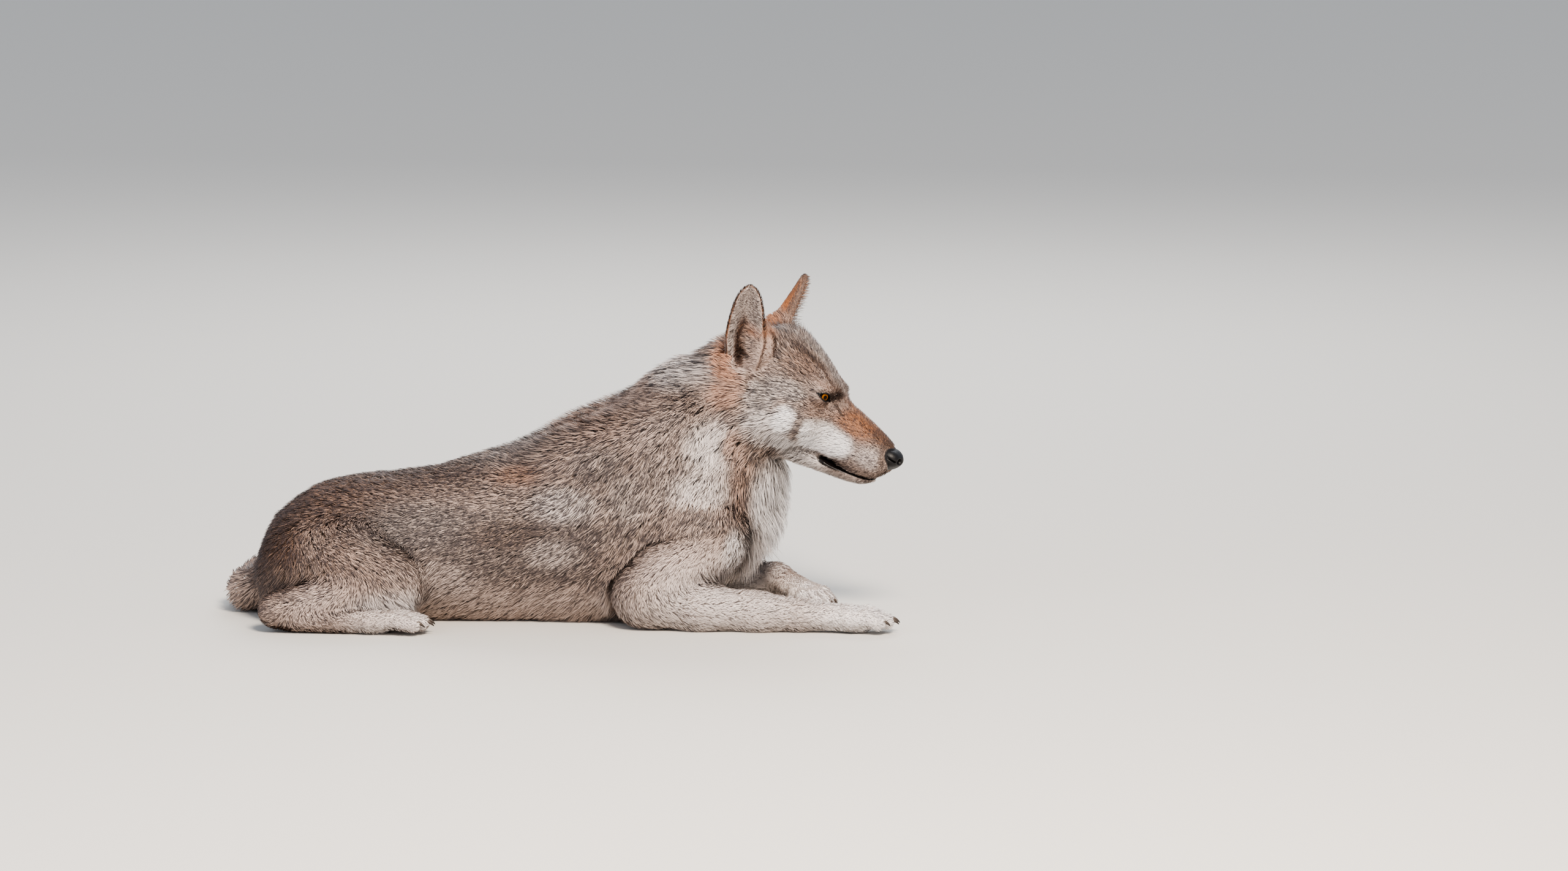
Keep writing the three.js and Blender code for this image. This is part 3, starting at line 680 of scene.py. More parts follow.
def skinNet():
    cell = net["cell"]
    low = np.array(cadBox[0]) / mm - net["margin"]
    high = np.array(cadBox[1]) / mm + net["margin"]
    count = np.ceil((high - low) / cell).astype(int)
    headX, headZ = net["headFrom"]
    start = np.array([round((headX - low[0]) / cell), 0, round((headZ - low[2]) / cell)])
    coarse = sample(low, count, cell)
    fine = sample(low + start * cell, 2 * (count - 1 - start) + 1, cell / 2)
    fine[0] = twice(twice(coarse[start[0], :, start[2]:], 0), 1)
    fine[:, :, 0] = twice(twice(coarse[start[0]:, :, start[2]], 0), 1)
    headCells = (slice(start[0], None), slice(None), slice(start[2], None))
    bodyPoints, bodyIndex = cellPoints(coarse, low, cell, headCells)
    headPoints, headIndex = cellPoints(fine, low + start * cell, cell / 2)
    headIndex = np.where(headIndex < 0, -1, headIndex + len(bodyPoints))
    rings = []
    for axis in range(3):
        edges, leaving = crossedEdges(coarse, axis)
        own = ~((edges[:, 0] >= start[0]) & (edges[:, 2] >= start[2]))
        quad = np.stack([bodyIndex[tuple(r.T)] for r in ringAround(edges[own], axis)], 1)
        rings.append(np.where(leaving[own][:, None], quad, quad[:, ::-1]))
        edges, leaving = crossedEdges(fine, axis)
        corners = []
        for r in ringAround(edges, axis):
            inHead = (r[:, 0] >= 0) & (r[:, 2] >= 0)
            outer = bodyIndex[tuple(((r + 2 * start) // 2).T)]
            inner = headIndex[tuple(np.maximum(r, 0).clip(max=np.array(headIndex.shape) - 1).T)]
            corners.append(np.where(inHead, inner, outer))
        quad = np.stack(corners, 1)
        rings.append(np.where(leaving[:, None], quad, quad[:, ::-1]))
    rings = np.concatenate(rings)
    whole = np.all([rings[:, i] != rings[:, (i + 1) % 4] for i in range(4)], 0)
    faces = rings[whole].tolist()
    for ring in rings[~whole].tolist():
        face = [v for i, v in enumerate(ring) if v != ring[i - 1]]
        if len(set(face)) == 3:
            faces.append(face)
    return np.concatenate([bodyPoints, headPoints]), faces


def grouped(points, measureGroup, width, size=110):
    # Runs a measure over points in cubes, each against only the shapes near it.
    keys = np.floor(points / size).astype(int)
    _, group = np.unique(keys, axis=0, return_inverse=True)
    group = group.ravel()
    order = np.argsort(group, kind="stable")
    out = np.zeros((len(points), width))
    for members in np.split(order, np.nonzero(np.diff(group[order]))[0] + 1):
        chosen = shapesNear((keys[members[0]] + 0.5) * size, size * 0.87 + 44)
        out[members] = measureGroup(points[members], chosen)
    return out


def heightOver(points, bare=True):
    return grouped(points, lambda p, chosen: field(p, chosen, bare)[:, None], 1)[:, 0]


def slopeAt(points, chosen, step=0.35):
    d = field(points, chosen)
    slope = [(field(points + offset, chosen) - d) / step for offset in np.eye(3) * step]
    return np.concatenate([d[:, None], np.stack(slope, 1)], 1)


def settle(points, most=1.2, rounds=2):
    # Slides the net's points onto the surface.
    for _ in range(rounds):
        found = grouped(points, slopeAt, 4)
        slope = found[:, 1:]
        move = slope * (found[:, 0] / np.maximum((slope ** 2).sum(1), 0.2))[:, None]
        long = np.linalg.norm(move, axis=1, keepdims=True)
        points = points - move * np.minimum(1, most / np.maximum(long, 1e-9))
    return points


def coordinates(mesh):
    flat = np.empty(len(mesh.vertices) * 3, np.float32)
    mesh.vertices.foreach_get("co", flat)
    return flat.reshape(-1, 3).astype(float) / mm


def setAttribute(mesh, name, values, domain="POINT"):
    made = mesh.attributes.new(name, "FLOAT", domain)
    made.data.foreach_set("value", np.asarray(values, np.float32))


def nearEyes(points, reach):
    centres = [eye["centre"] + eye["gaze"] * 8 for eye in eyeFrames.values()]
    return np.any([np.linalg.norm(points - centre, axis=1) < reach for centre in centres], 0)


def refineEyes(mesh):
    # Twice as fine around the eyes, for the edges of the lids.
    near = nearEyes(coordinates(mesh), 15)
    work = bmesh.new()
    work.from_mesh(mesh)
    work.verts.ensure_lookup_table()
    edges = [e for e in work.edges if near[e.verts[0].index] and near[e.verts[1].index]]
    bmesh.ops.subdivide_edges(work, edges=edges, cuts=1, use_grid_fill=True)
    work.to_mesh(mesh)
    work.free()
    points = coordinates(mesh)
    near = nearEyes(points, 16)
    points[near] = settle(points[near], 0.5, 2)
    mesh.vertices.foreach_set("co", (points * mm).astype(np.float32).ravel())
    mesh.update()


def buildSkin():
    points, faces = skinNet()
    print("skin net", len(points), "points")
    points = settle(points)
    mesh = bpy.data.meshes.new("skin")
    mesh.from_pydata((points * mm).tolist(), [], faces)
    refineEyes(mesh)
    mesh.polygons.foreach_set("use_smooth", np.ones(len(mesh.polygons), bool))
    mesh.update()
    print("skin settled", len(mesh.polygons), "faces")
    return mesh


skin = buildSkin()


# Where the coat is dark, rust or pale; a few marks also paint light or shade into it. Each mark pulls the
# channels to its levels inside an ellipsoid;
# the second coordinate is the distance from the middle, so both sides match.
channels = ("dark", "rust", "pale")
ground = (0.55, 0.18, 0.2)
bodyMarks = [  # (x, out, z), radii, levels
    ((-60, 60, 14), (340, 130, 52), (0.24, 0.26, 0.3)),
    ((-60, 105, 112), (250, 60, 62), (0.84, 0.1, 0.22)),
    ((-280, 120, 86), (70, 70, 52), (0.66, 0.26, 0.16)),
    ((-210, 100, 140), (90, 60, 44), (0.88, 0.06, 0.26)),
    ((-70, 107, 130), (62, 60, 24), (1.0, 0.04, 0.1)),
    ((10, 110, 172), (56, 60, 30), (0.52, 0.14, 0.46)),
    ((-7, 112, 104), (44, 60, 26), (0.58, 0.14, 0.36)),
    ((-330, 0, 150), (140, 120, 84), (0.98, 0.3, 0.06)),
    ((-165, 0, 210), (150, 84, 50), (0.96, 0.16, 0.12)),
    ((-60, 0, 238), (130, 70, 46), (0.74, 0.1, 0.28)),
    ((-40, 74, 208), (60, 26, 20), (0.5, 0.42, 0.1)),
    ((70, 0, 276), (110, 110, 46), (0.5, 0.42, 0.2)),
    ((-190, 108, 62), (90, 50, 36), (0.34, 0.26, 0.36)),
    ((-316, 124, 60), (64, 50, 24), (0.6, 0.34, 0.16)),
    ((-392, 60, 84), (58, 110, 70), (1.1, 0.26, 0.02)),
    ((56, 104, 226), (46, 50, 34), (0.74, 0.1, 0.26)),
    ((100, 116, 182), (36, 50, 40), (0.66, 0.1, 0.34)),
    ((90, 112, 90), (50, 50, 34), (0.62, 0.16, 0.2)),
    ((120, 30, 318), (80, 70, 40), (0.56, 0.3, 0.24)),
    ((172, 30, 346), (50, 60, 36), (0.42, 0.06, 0.58)),
    ((150, 96, 262), (60, 44, 44), (0.5, 0.3, 0.3)),
    ((150, 110, 206), (52, 50, 50), (0.56, 0.2, 0.32)),
    ((214, 96, 250), (44, 50, 46), (0.14, 0.16, 0.66)),
    ((200, 104, 192), (48, 50, 34), (0.16, 0.16, 0.6)),
    ((258, 84, 200), (18, 50, 52), (0.5, 0.32, 0.16)),
    ((246, 92, 252), (20, 50, 30), (0.4, 0.4, 0.2)),
    # The breast is pale, and painted paler still as painted light where it lies in shade.
    ((302, 0, 150), (64, 90, 100), (0.06, 0.03, 0.95)),
    ((240, 60, 100), (50, 60, 50), (0.06, 0.06, 0.9)),
    ((196, 112, 152), (58, 50, 20), (0.62, 0.2, 0.24)),
    # Painted light: the front of the breast on each side is painted paler, for light falling on it.
    ((298, 70, 165), (36, 60, 64), (0.12, 0.06, 0.8)),
    ((184, 126, 82), (84, 60, 50), (0.06, 0.36, 0.42)),
    ((249, 110, 100), (18, 40, 40), (0.1, 0.1, 0.76)),
    ((260, 100, 30), (190, 120, 74), (0.08, 0.26, 0.62)),
    ((430, 146, 16), (84, 60, 44), (0.03, 0.12, 0.84)),
    ((362, 0, 20), (66, 62, 46), (0.03, 0.12, 0.84)),
    ((-330, 132, 36), (110, 60, 50), (0.26, 0.34, 0.36)),
    ((-222, 150, 14), (84, 60, 46), (0.06, 0.2, 0.7)),
    ((-410, 110, 36), (90, 60, 60), (0.86, 0.24, 0.12)),
    ((-300, 226, 36), (130, 50, 50), (0.78, 0.24, 0.14)),
    ((-188, 240, 18), (60, 40, 40), (1.1, 0.02, 0.0)),
    ((238, 66, 362), (24, 44, 40), (0.03, 1.0, 0.14)),
    ((232, 80, 326), (26, 40, 26), (0.1, 0.66, 0.16)),
]
headMarks = [  # (ahead, out, up) in the head's frame
    ((-20, 0, -20), (140, 96, 104), (0.58, 0.18, 0.26)),
    ((-60, 0, 55), (76, 40, 36), (0.76, 0.18, 0.24)),
    ((-10, 0, 45), (60, 14, 56), (0.7, 0.08, 0.4)),
    ((-44, 48, 34), (36, 26, 26), (0.68, 0.28, 0.1)),
    ((-44, 68, -4), (32, 30, 16), (0.6, 0.1, 0.44)),
    ((2, 50, -18), (28, 26, 18), (0.54, 0.34, 0.2)),
    ((-4, 38, 17), (16, 14, 6), (0.12, 0.4, 0.26)),
    ((-76, 74, -24), (26, 34, 30), (0.66, 0.05, 0.46)),
    ((-60, 66, -66), (40, 40, 28), (0.24, 0.1, 0.66)),
    ((-26, 58, -80), (26, 30, 13), (0.24, 0.05, 0.72)),
    ((0, 0, -114), (80, 60, 22), (0.22, 0.1, 0.62)),
    ((6, 38, -92), (44, 30, 12), (0.34, 0.05, 0.66)),
    ((58, 16, -24), (46, 32, 22), (0.52, 0.66, 0.0)),
    ((62, 0, -10), (52, 12, 24), (0.66, 0.5, 0.03)),
    ((94, 28, -60), (30, 22, 16), (0.44, 0.16, 0.44)),
    ((98, 8, -30), (22, 24, 13), (0.84, 0.34, 0.0)),
    ((114, 6, -40), (18, 28, 18), (1.2, 0.1, 0.0)),
    ((110, 18, -56), (9, 16, 22), (0.8, 0.0, 0.1)),
    ((-112, 44, 56), (26, 24, 15), (0.1, 0.8, 0.05)),
    ((120, 8, -74), (12, 16, 9), (1.0, 0.0, 0.0)),
    ((76, 0, -102), (60, 34, 11), (0.46, 0.06, 0.44)),
    ((-146, 50, 2), (26, 34, 40), (0.06, 1.0, 0.12)),
    ((-128, 80, -40), (24, 34, 24), (0.14, 0.62, 0.16)),
    # A tan patch before the ear, made paler as painted light in the shaded cleft between the ear and the
    # skull.
    ((-92, 60, 22), (16, 28, 36), (0.1, 0.42, 0.34)),
    ((-118, 66, 4), (16, 24, 14), (0.1, 0.4, 0.36)),
]
headLines = [  # points in the head's frame, half width, levels
    ([(-34, 77, -40), (-34, 76, -50)], 16, (0.0, 0.0, 1.0)),
    ([(4, 62, -52), (20, 50, -53), (46, 40, -58)], 19, (0.0, 0.0, 1.0)),
    ([(4, 46, -70), (34, 38, -72)], 13, (0.0, 0.0, 0.95)),
    ([(-13, 74, -34), (-12, 72, -52), (-15, 66, -66)], 5.4, (0.8, None, 0.3)),
    ([(-90, 10, 60), (-48, 12, 57), (-16, 8, 43), (6, 6, 28)], 7, (0.68, 0.05, 0.46)),
    ([(-101, 22, 55), (-68, 34, 55), (-39, 30, 49), (-16, 25, 39)], 5.2, (1.6, 0.0, 0.0)),
    ([(-16, 25, 39), (6, 26, 21), (17, 30, 10), (21, 30, 4)], 2.6, (1.2, 0.0, 0.0)),
    ([(-81, 53, 41), (-73, 65, 25), (-75, 72, 6), (-82, 75, -7)], 4.2, (1.5, None, 0.0)),
    ([(19, 36, -2), (26, 31, -6), (34, 30, -15)], 2.2, (1.2, 0.0, 0.0)),
]


def pull(levels, share, target):
    for channel, level in zip(channels, target):
        if level is not None:
            levels[channel] += (level - levels[channel]) * share


def lineDistance(points, line):
    line = np.asarray(line, float)
    best = np.full(len(points), 1e3)
    for a, b in zip(line, line[1:]):
        t = np.clip((points - a) @ (b - a) / max((b - a) @ (b - a), 1e-6), 0, 1)
        best = np.minimum(best, np.linalg.norm(points - a - t[:, None] * (b - a), axis=1))
    return best


def laidOn(line):
    # The line in steps of about 3 mm, brought onto the outside of the coat.
    line = np.array(line, float) * (1, -1, 1)
    places = [line[-1:]]
    for a, b in zip(line[-2::-1], line[:0:-1]):
        count = 1 + int(np.linalg.norm(b - a) / 3)
        places.append(b + (a - b) * (np.arange(1, count + 1) / count)[:, None])
    at = settle(fromHead(np.concatenate(places)), 6, 6)
    outwards = unit(grouped(at, slopeAt, 4)[:, 1:])
    laid = toHead(at + outwards * readLay(at)["coat"][:, None] * 0.8)
    return laid * (1, -1, 1)


def markings(points, shares):
    # shares: how much of each region there is at each point
    levels = {channel: np.full(len(points), level) for channel, level in zip(channels, ground)}
    folded = points * 1.0
    folded[:, 1] = np.abs(folded[:, 1])
    for middle, radii, target in bodyMarks:
        far = np.linalg.norm((folded - middle) / np.array(radii), axis=1)
        pull(levels, smoothStep(1.25, 0.45, far), target)
    inHead = toHalfHead(points)
    onHead = shares["head"] + shares["cheek"] + shares["earRight"] + shares["earLeft"]
    onHead = smoothStep(0.25, 0.7, onHead)
    for middle, radii, target in headMarks:
        far = np.linalg.norm((inHead - middle) / np.array(radii), axis=1)
        pull(levels, smoothStep(1.25, 0.5, far) * onHead, target)
    for line, width, target in headLines:
        far = lineDistance(inHead, laidOn(line)) / width
        pull(levels, smoothStep(1.4, 0.5, far) * onHead, target)
    for shape in shapes:
        if shape["kind"] != "ear":
            continue
        s, t, w, _, _ = earPlace(shape, points)
        onEar = smoothStep(0.45, 0.8, shares[shape["region"]]) * smoothStep(-0.32, -0.12, s)
        inner = onEar * smoothStep(-0.5, 1.5, w) * smoothStep(1.02, 0.88, np.abs(t))
        pull(levels, onEar, (0.06, 1.0, 0.0))
        pull(levels, onEar * smoothStep(0.45, 0.95, s), (0.5, 0.6, None))
        pull(levels, inner, (0.5, 0.18, 0.42))
        # Painted shade: the hollow of the ear round the canal, deep in the cup, is painted dark.
        hollow = smoothStep(1.0, 0.4, np.hypot((t - 0.12) / 0.5, (s - 0.34) / 0.34))
        pull(levels, inner * hollow, (1.0, 0.3, 0.0))
        rim = smoothStep(0.88, 1.0, np.maximum(np.abs(t), s)) * smoothStep(2.5, 0.5, w)
        pull(levels, onEar * rim, (0.1, 0.5, 0.4))
        pull(levels, onEar * rim * smoothStep(0.28, 0.5, s), (1.0, 0.2, 0))
    return levels


def bareness(points):
    # Where no hair grows: the rims of the lids, the lips and the leather round the nose.
    a, l, b = toHalfHead(points).T
    bare = np.zeros(len(points))
    for eye in eyeFrames.values():
        gap, u, v, w = lidGap(eye, points)
        close = np.linalg.norm(points - eye["centre"], axis=1) < 16
        inner = np.hypot(u + 11.5, (v + 1.6) * 1.5)
        bare = np.maximum(bare, smoothStep(2.9, 2.0, gap) * (w > 1) * close)
        bare = np.maximum(bare, smoothStep(3.6, 2.6, inner) * (w > 1))
    thick = 1.6 + 2.0 * smoothStep(72, 40, a)
    lip = smoothStep(0.7, -0.5, np.abs(b - mouthHeight(a) + thick * 0.6) - thick) * smoothStep(20, 28, a)
    corner = smoothStep(8.5, 6.5, np.hypot((a - 34) * 0.62, (b + 88) * 1.25))
    onLips = (np.abs(b + 88) < 16) & (l < 44) & (a > 10) & (a < 125)
    bare = np.maximum(bare, np.maximum(lip, corner) * onLips)
    return np.maximum(bare, smoothStep(3.0, 1.2, noseLeather(points)))


noseShape = {
    "cell": 0.9, "low": (92, -28, -84), "high": (142, 28, -28),
    "tip": ((116.5, 0, -52.4), (18, 15, 12.8)), "under": ((113, 0, -60), (13, 10, 10.5)),
    "wing": ((116, 11, -52), (14, 9, 11)), "nostril": ((130, 8.6, -51.5), (8, 4.6, 3.8)),
    "slitSlope": 0.24, "slitDepth": 3.5, "grooveWidth": 1.2, "grooveDepth": 1.5,
}


def roundBall(q, ball):
    middle, radii = ball
    return np.linalg.norm((q - middle) / np.array(radii), axis=1) - 1


def noseLeather(points):
    q = toHalfHead(points)
    tip, under, wing = [roundBall(q, noseShape[k]) * min(noseShape[k][1]) for k in ("tip", "under", "wing")]
    return melt(melt(tip, under, 8), wing, 5)


def noseField(points):
    q = toHalfHead(points)
    a, l, b = q.T
    d = noseLeather(points)
    slit = np.maximum(np.abs(b + 53 - (128 - a) * noseShape["slitSlope"]) - 0.9, np.abs(a - 119) - 8)
    slit = np.maximum(slit, -d - noseShape["slitDepth"])
    groove = np.exp(-(l / noseShape["grooveWidth"]) ** 2) * smoothStep(-46, -54, b)
    d = -melt(-d, roundBall(q, noseShape["nostril"]) * 4, 2.2)
    d = -melt(-d, slit, 1.6)
    return d + noseShape["grooveDepth"] * groove


lay = {
    "count": 285000, "mostInPiece": 38000,
    "length": (2.2, 0.68), "longest": 46,  # at no depth, and for each mm of depth
    "spacing": (0.85, 0.066), "widest": 2.6,
    "width": 0.86, "widestHair": 1.55,  # against the spacing, and mm
    "clump": 4.2,  # spacings from lock to lock
    "pull": 0.45, "sway": 14.0, "jitter": 12.0,  # how locks gather, and degrees they turn
    "cheekFall": 0.45, "flowRounds": 90,
    "wool": 0.6,  # the share of a deep coat that is wool, which the guard hair stands in
    "rows": (0.0, 0.34, 0.69, 1.0), "rise": (0.0, 0.55, 0.86, 1.0), "taper": (0.7, 1.0, 0.7),
    "patch": 0.003,
    "proud": (3, 3, 4.5, 9),  # how far in mm each row of long hair may stand out of the outline
    "long": 12,  # mm of coat from which hair counts as long
    "weigh": 7,  # how far off, in mm, a shape still has a say in the lie of the coat
    "roll": 60, "lean": 0.22,  # degrees a lock is rolled, and how much that shows in its shading
    "rowFloor": 0.8, "edgeFloor": 0.6,  # mm over the floor
}
regions = ["body", "breast", "neck", "head", "cheek", "leg", "paw", "tail", "earRight", "earLeft"]
parts = [part for part, _, _ in joins]
sag = {"body": 0.28, "breast": 0.25, "neck": 0.22, "cheek": 0.2, "tail": 0.1}
finer = {  # closer locks
    "body": 0.8, "neck": 0.72, "breast": 0.78, "head": 0.78, "cheek": 0.8, "earRight": 0.88, "earLeft": 0.88,
    "paw": 1.5, "leg": 1.05,
}
longer = {"neck": 1.3, "breast": 1.45, "cheek": 1.1, "leg": 1.15, "paw": 1.15, "tail": 1.5}


def layOf(points, chosen):
    # Sums over the shapes near each point: weight, coat, flow, regions, and the nearest part.
    out = np.zeros((len(points), 6 + len(regions)))
    nearest = np.full(len(points), 1e3)
    for i in chosen:
        shape = shapes[i]
        d, coat = measure(shape, points)
        weight = np.exp(-np.maximum(d, 0) / lay["weigh"])
        out[:, 0] += weight
        out[:, 1] += weight * coat
        out[:, 2:5] += weight[:, None] * shape["flow"]
        out[:, 5 + regions.index(shape["region"])] += weight
        closer = d < nearest
        nearest[closer] = d[closer]
        out[closer, -1] = parts.index(shape["part"])
    out[:, 1:-1] /= np.maximum(out[:, :1], 1e-9)
    return out


def readLay(points):
    found = grouped(points, layOf, 6 + len(regions))
    shares = {region: found[:, 5 + i] for i, region in enumerate(regions)}
    flow = found[:, 2:5]
    for region, amount in sag.items():
        flow[:, 2] -= amount * shares[region]
    return {"coat": found[:, 1], "flow": flow, "part": found[:, -1].astype(int), "shares": shares}


def unwrap(points, normals, part):
    # Each part of the body is laid flat from its six sides, and the pieces are set in rows on the sheet.
    axis = np.abs(normals).argmax(1)
    way = axis * 2 + (normals[np.arange(len(normals)), axis] > 0)
    keys = part * 6 + way
    flat = np.where((axis == 0)[:, None], points[:, [1, 2]],
                    np.where((axis == 1)[:, None], points[:, [0, 2]], points[:, [0, 1]]))
    boxes = {k: (flat[keys == k].min(0) - 2, flat[keys == k].max(0) + 2) for k in np.unique(keys)}
    order = sorted(boxes, key=lambda k: -(boxes[k][1] - boxes[k][0])[1])
    wide = 1400.0
    while True:
        x = y = shelf = 0.0
        corners = {}
        for k in order:
            size = boxes[k][1] - boxes[k][0]
            if x + size[0] > wide:
                x, y, shelf = 0.0, y + shelf, 0.0
            corners[k] = (x, y)
            x, shelf = x + size[0], max(shelf, size[1])
        if y + shelf <= wide:
            break
        wide *= 1.04
    offset = np.zeros((len(points), 2))
    for k in order:
        offset[keys == k] = np.array(corners[k]) - boxes[k][0]
    return (flat + offset) / wide


def surfaceOf(mesh):
    points = coordinates(mesh)
    mesh.calc_loop_triangles()
    corners = np.empty(len(mesh.loop_triangles) * 3, np.int32)
    mesh.loop_triangles.foreach_get("vertices", corners)
    flat = np.empty(len(mesh.vertices) * 3, np.float32)
    mesh.vertex_normals.foreach_get("vector", flat)
    return points, corners.reshape(-1, 3), flat.reshape(-1, 3).astype(float)


def smoothFlow(mesh, flow, shares, normals):
    # The lie of the coat turns slowly from one part to the next, and lies back from the nose on the head.
    edges = np.empty(len(mesh.edges) * 2, np.int32)
    mesh.edges.foreach_get("vertices", edges)
    a, b = edges.reshape(-1, 2).T
    count = np.maximum(np.bincount(edges, minlength=len(flow)), 1)[:, None]
    q = toHead(coordinates(mesh))
    down = 0.1 + lay["cheekFall"] * smoothStep(10, -60, q[:, 2]) * smoothStep(45, -40, q[:, 0])
    back = np.stack([np.full(len(q), -1.0), 0.18 * np.sign(q[:, 1]), -down], 1) @ headAxes
    onHead = (shares["head"] + shares["cheek"])[:, None] * 0.85
    flow = unit(flow) * (1 - onHead) + back * onHead
    for _ in range(lay["flowRounds"]):
        flow = unit(flow - normals * (flow * normals).sum(1, keepdims=True))
        total = np.stack([np.bincount(a, flow[b, k], len(flow)) + np.bincount(b, flow[a, k], len(flow))
                          for k in range(3)], 1)
        flow = flow * 0.3 + total / count * 0.7
    return flow


def scatter(mesh, points, corners, normals):
    # Roots spread evenly by area, closer where the coat is short.
    here = readLay(points)
    here["flow"] = smoothFlow(mesh, here["flow"], here["shares"], normals)
    a, b, c = points[corners[:, 0]], points[corners[:, 1]], points[corners[:, 2]]
    area = np.linalg.norm(np.cross(b - a, c - a), axis=1) / 2
    spacing = np.minimum(lay["spacing"][0] + lay["spacing"][1] * here["coat"], lay["widest"])
    for region, factor in finer.items():
        spacing = spacing * (1 + (factor - 1) * here["shares"][region])
    grows = (1 - bareness(points)) * (points[:, 2] > 1.0)
    density = (grows / spacing ** 2)[corners].mean(1)
    wanted = area * density
    order = np.lexsort(np.floor(points[corners[:, 0]] / 12).T)
    total = np.cumsum(wanted[order])
    steps = (np.arange(lay["count"]) + 0.5) * total[-1] / lay["count"]
    face = order[np.searchsorted(total, steps)]
    print("coat spacing against the table", round(float(np.sqrt(total[-1] / lay["count"])), 3))
    u, v = dice.random((2, len(face)))
    over = u + v > 1
    u[over], v[over] = 1 - u[over], 1 - v[over]
    share = np.stack([1 - u - v, u, v], 1)

    def blend(values):
        picked = values[corners[face]]
        return np.einsum("ij,ij...->i...", share, picked)

    roots = blend(points)
    normal = unit(blend(normals))
    flow = blend(here["flow"])
    shares = {region: blend(values) for region, values in here["shares"].items()}
    kept = blend(bareness(points)) < 0.45
    return {
        "root": roots[kept], "normal": normal[kept], "flow": flow[kept], "coat": blend(here["coat"])[kept],
        "spacing": blend(spacing)[kept], "part": here["part"][corners[face, 0]][kept],
        "shares": {region: values[kept] for region, values in shares.items()},
    }


def gatherLocks(roots):
    # Each root's lock: the nearest of the seeds, which are as far apart as the coat is coarse.
    chance = 1 / lay["clump"] ** 2
    seeds = np.nonzero(dice.random(len(roots)) < chance)[0]
    tree = kdtree.KDTree(len(seeds))
    for i, seed in enumerate(seeds):
        tree.insert(roots[seed], i)
    tree.balance()
    return seeds, np.array([tree.find(root)[1] for root in roots.tolist()])


def turned(vectors, normals, angle):
    c, s = np.cos(angle)[:, None], np.sin(angle)[:, None]
    return vectors * c + np.cross(normals, vectors) * s


def styleCoat(hair):
    # Works out the rows of points of every lock.
    root, normal, coat = hair["root"], hair["normal"], hair["coat"]
    count = len(root)
    seeds, lock = gatherLocks(root)
    for shape in shapes:
        if shape["kind"] == "ear":
            s, t, w, _, _ = earPlace(shape, root)
            inner = (hair["shares"][shape["region"]] > 0.5) & (w > 1.2) & (s > -0.1) & (np.abs(t) < 0.94)
            deep = smoothStep(0.85, 0.3, np.hypot((t - 0.05) / 0.6, (s - 0.3) / 0.36))
            coat[inner] = (12 - 10 * np.clip(s, 0, 1) - 5 * deep)[inner]
            hair["flow"][inner] += -shape["across"] * np.sign(t[inner])[:, None] * 0.8 + shape["open"] * 0.5
    flow = unit(hair["flow"] - normal * (hair["flow"] * normal).sum(1, keepdims=True))
    lockTurn, lockLift, lockTone = (dice.random((3, len(seeds))) - 0.5)
    loose = smoothStep(2, 20, coat)
    angle = 2 * lockTurn[lock] * lay["sway"] + 2 * (dice.random(count) - 0.5) * lay["jitter"]
    flow = turned(flow, normal, np.radians(angle * (0.35 + 0.65 * loose)))
    length = lay["length"][0] + lay["length"][1] * coat
    for region, factor in longer.items():
        length = length * (1 + (factor - 1) * hair["shares"][region])
    length = np.minimum(length, lay["longest"])
    length = length * (0.78 + 0.44 * dice.random(count))
    tipHeight = coat * (0.76 + 0.24 * dice.random(count)) * (1 + 0.2 * lockLift[lock]) + 0.3
    toSeed = root[seeds[lock]] - root
    across = np.cross(normal, flow)
    drift = (toSeed * across).sum(1) * lay["pull"]
    drift = np.clip(drift, -0.35 * length, 0.35 * length)
    wool = lay["wool"] * smoothStep(3, 14, coat)
    at = root + normal * (wool * tipHeight - 0.4)[:, None]
    rows = [at]
    longHair = np.nonzero((coat > lay["long"]) & (hair["shares"]["breast"] < 0.5))[0]
    for k in range(1, 4):
        step = lay["rows"][k] - lay["rows"][k - 1]
        at = at + flow * (length * step)[:, None] + across * (drift * step)[:, None]
        wanted = (wool + (1 - wool) * lay["rise"][k]) * tipHeight
        over = heightOver(at + normal * (wanted * 0.5)[:, None])
        at = at + normal * np.clip(wanted - over + wanted * 0.5, -14, 30)[:, None]
        # Long hair keeps near the coat's outline, and only its tips stand out.
        proud = heightOver(at[longHair], bare=False) - lay["proud"][k]
        at[longHair] -= normal[longHair] * np.clip(proud, 0, 24)[:, None]
        rows.append(at)
    rows = np.stack(rows, 1)
    covers = bareness(rows[:, 2]) + bareness(rows[:, 3]) > 0.5
    rows[covers] = rows[covers, :1] + (rows[covers] - rows[covers, :1]) * 0.35
    rows[:, :, 2] = np.maximum(rows[:, :, 2], lay["rowFloor"])
    roll = np.radians((dice.random(count) - 0.5) * lay["roll"])
    edge = turned(across, flow, roll)
    width = np.minimum(hair["spacing"] * lay["width"], lay["widestHair"])
    width = width * (0.75 + 0.5 * dice.random(count))
    mottle = 0.9 + 0.8 * (hair["shares"]["head"] + hair["shares"]["cheek"])
    hair.update(rows=rows, edge=edge, width=width, flowing=flow)
    hair.update(tone=dice.random(count), lockTone=lockTone[lock] * mottle + 0.5)
    return hair


def newMesh(name, points, quads, triangles):
    mesh = bpy.data.meshes.new(name)
    mesh.vertices.add(len(points))
    mesh.vertices.foreach_set("co", (points * mm).astype(np.float32).ravel())
    mesh.loops.add(quads.size + triangles.size)
    corners = np.concatenate([quads.ravel(), triangles.ravel()]).astype(np.int32)
    mesh.loops.foreach_set("vertex_index", corners)
    sizes = np.concatenate([np.full(len(quads), 4), np.full(len(triangles), 3)])
    mesh.polygons.add(len(sizes))
    mesh.polygons.foreach_set("loop_start", (np.cumsum(sizes) - sizes).astype(np.int32))
    mesh.polygons.foreach_set("use_smooth", np.ones(len(sizes), bool))
    mesh.update(calc_edges=True)
    return mesh


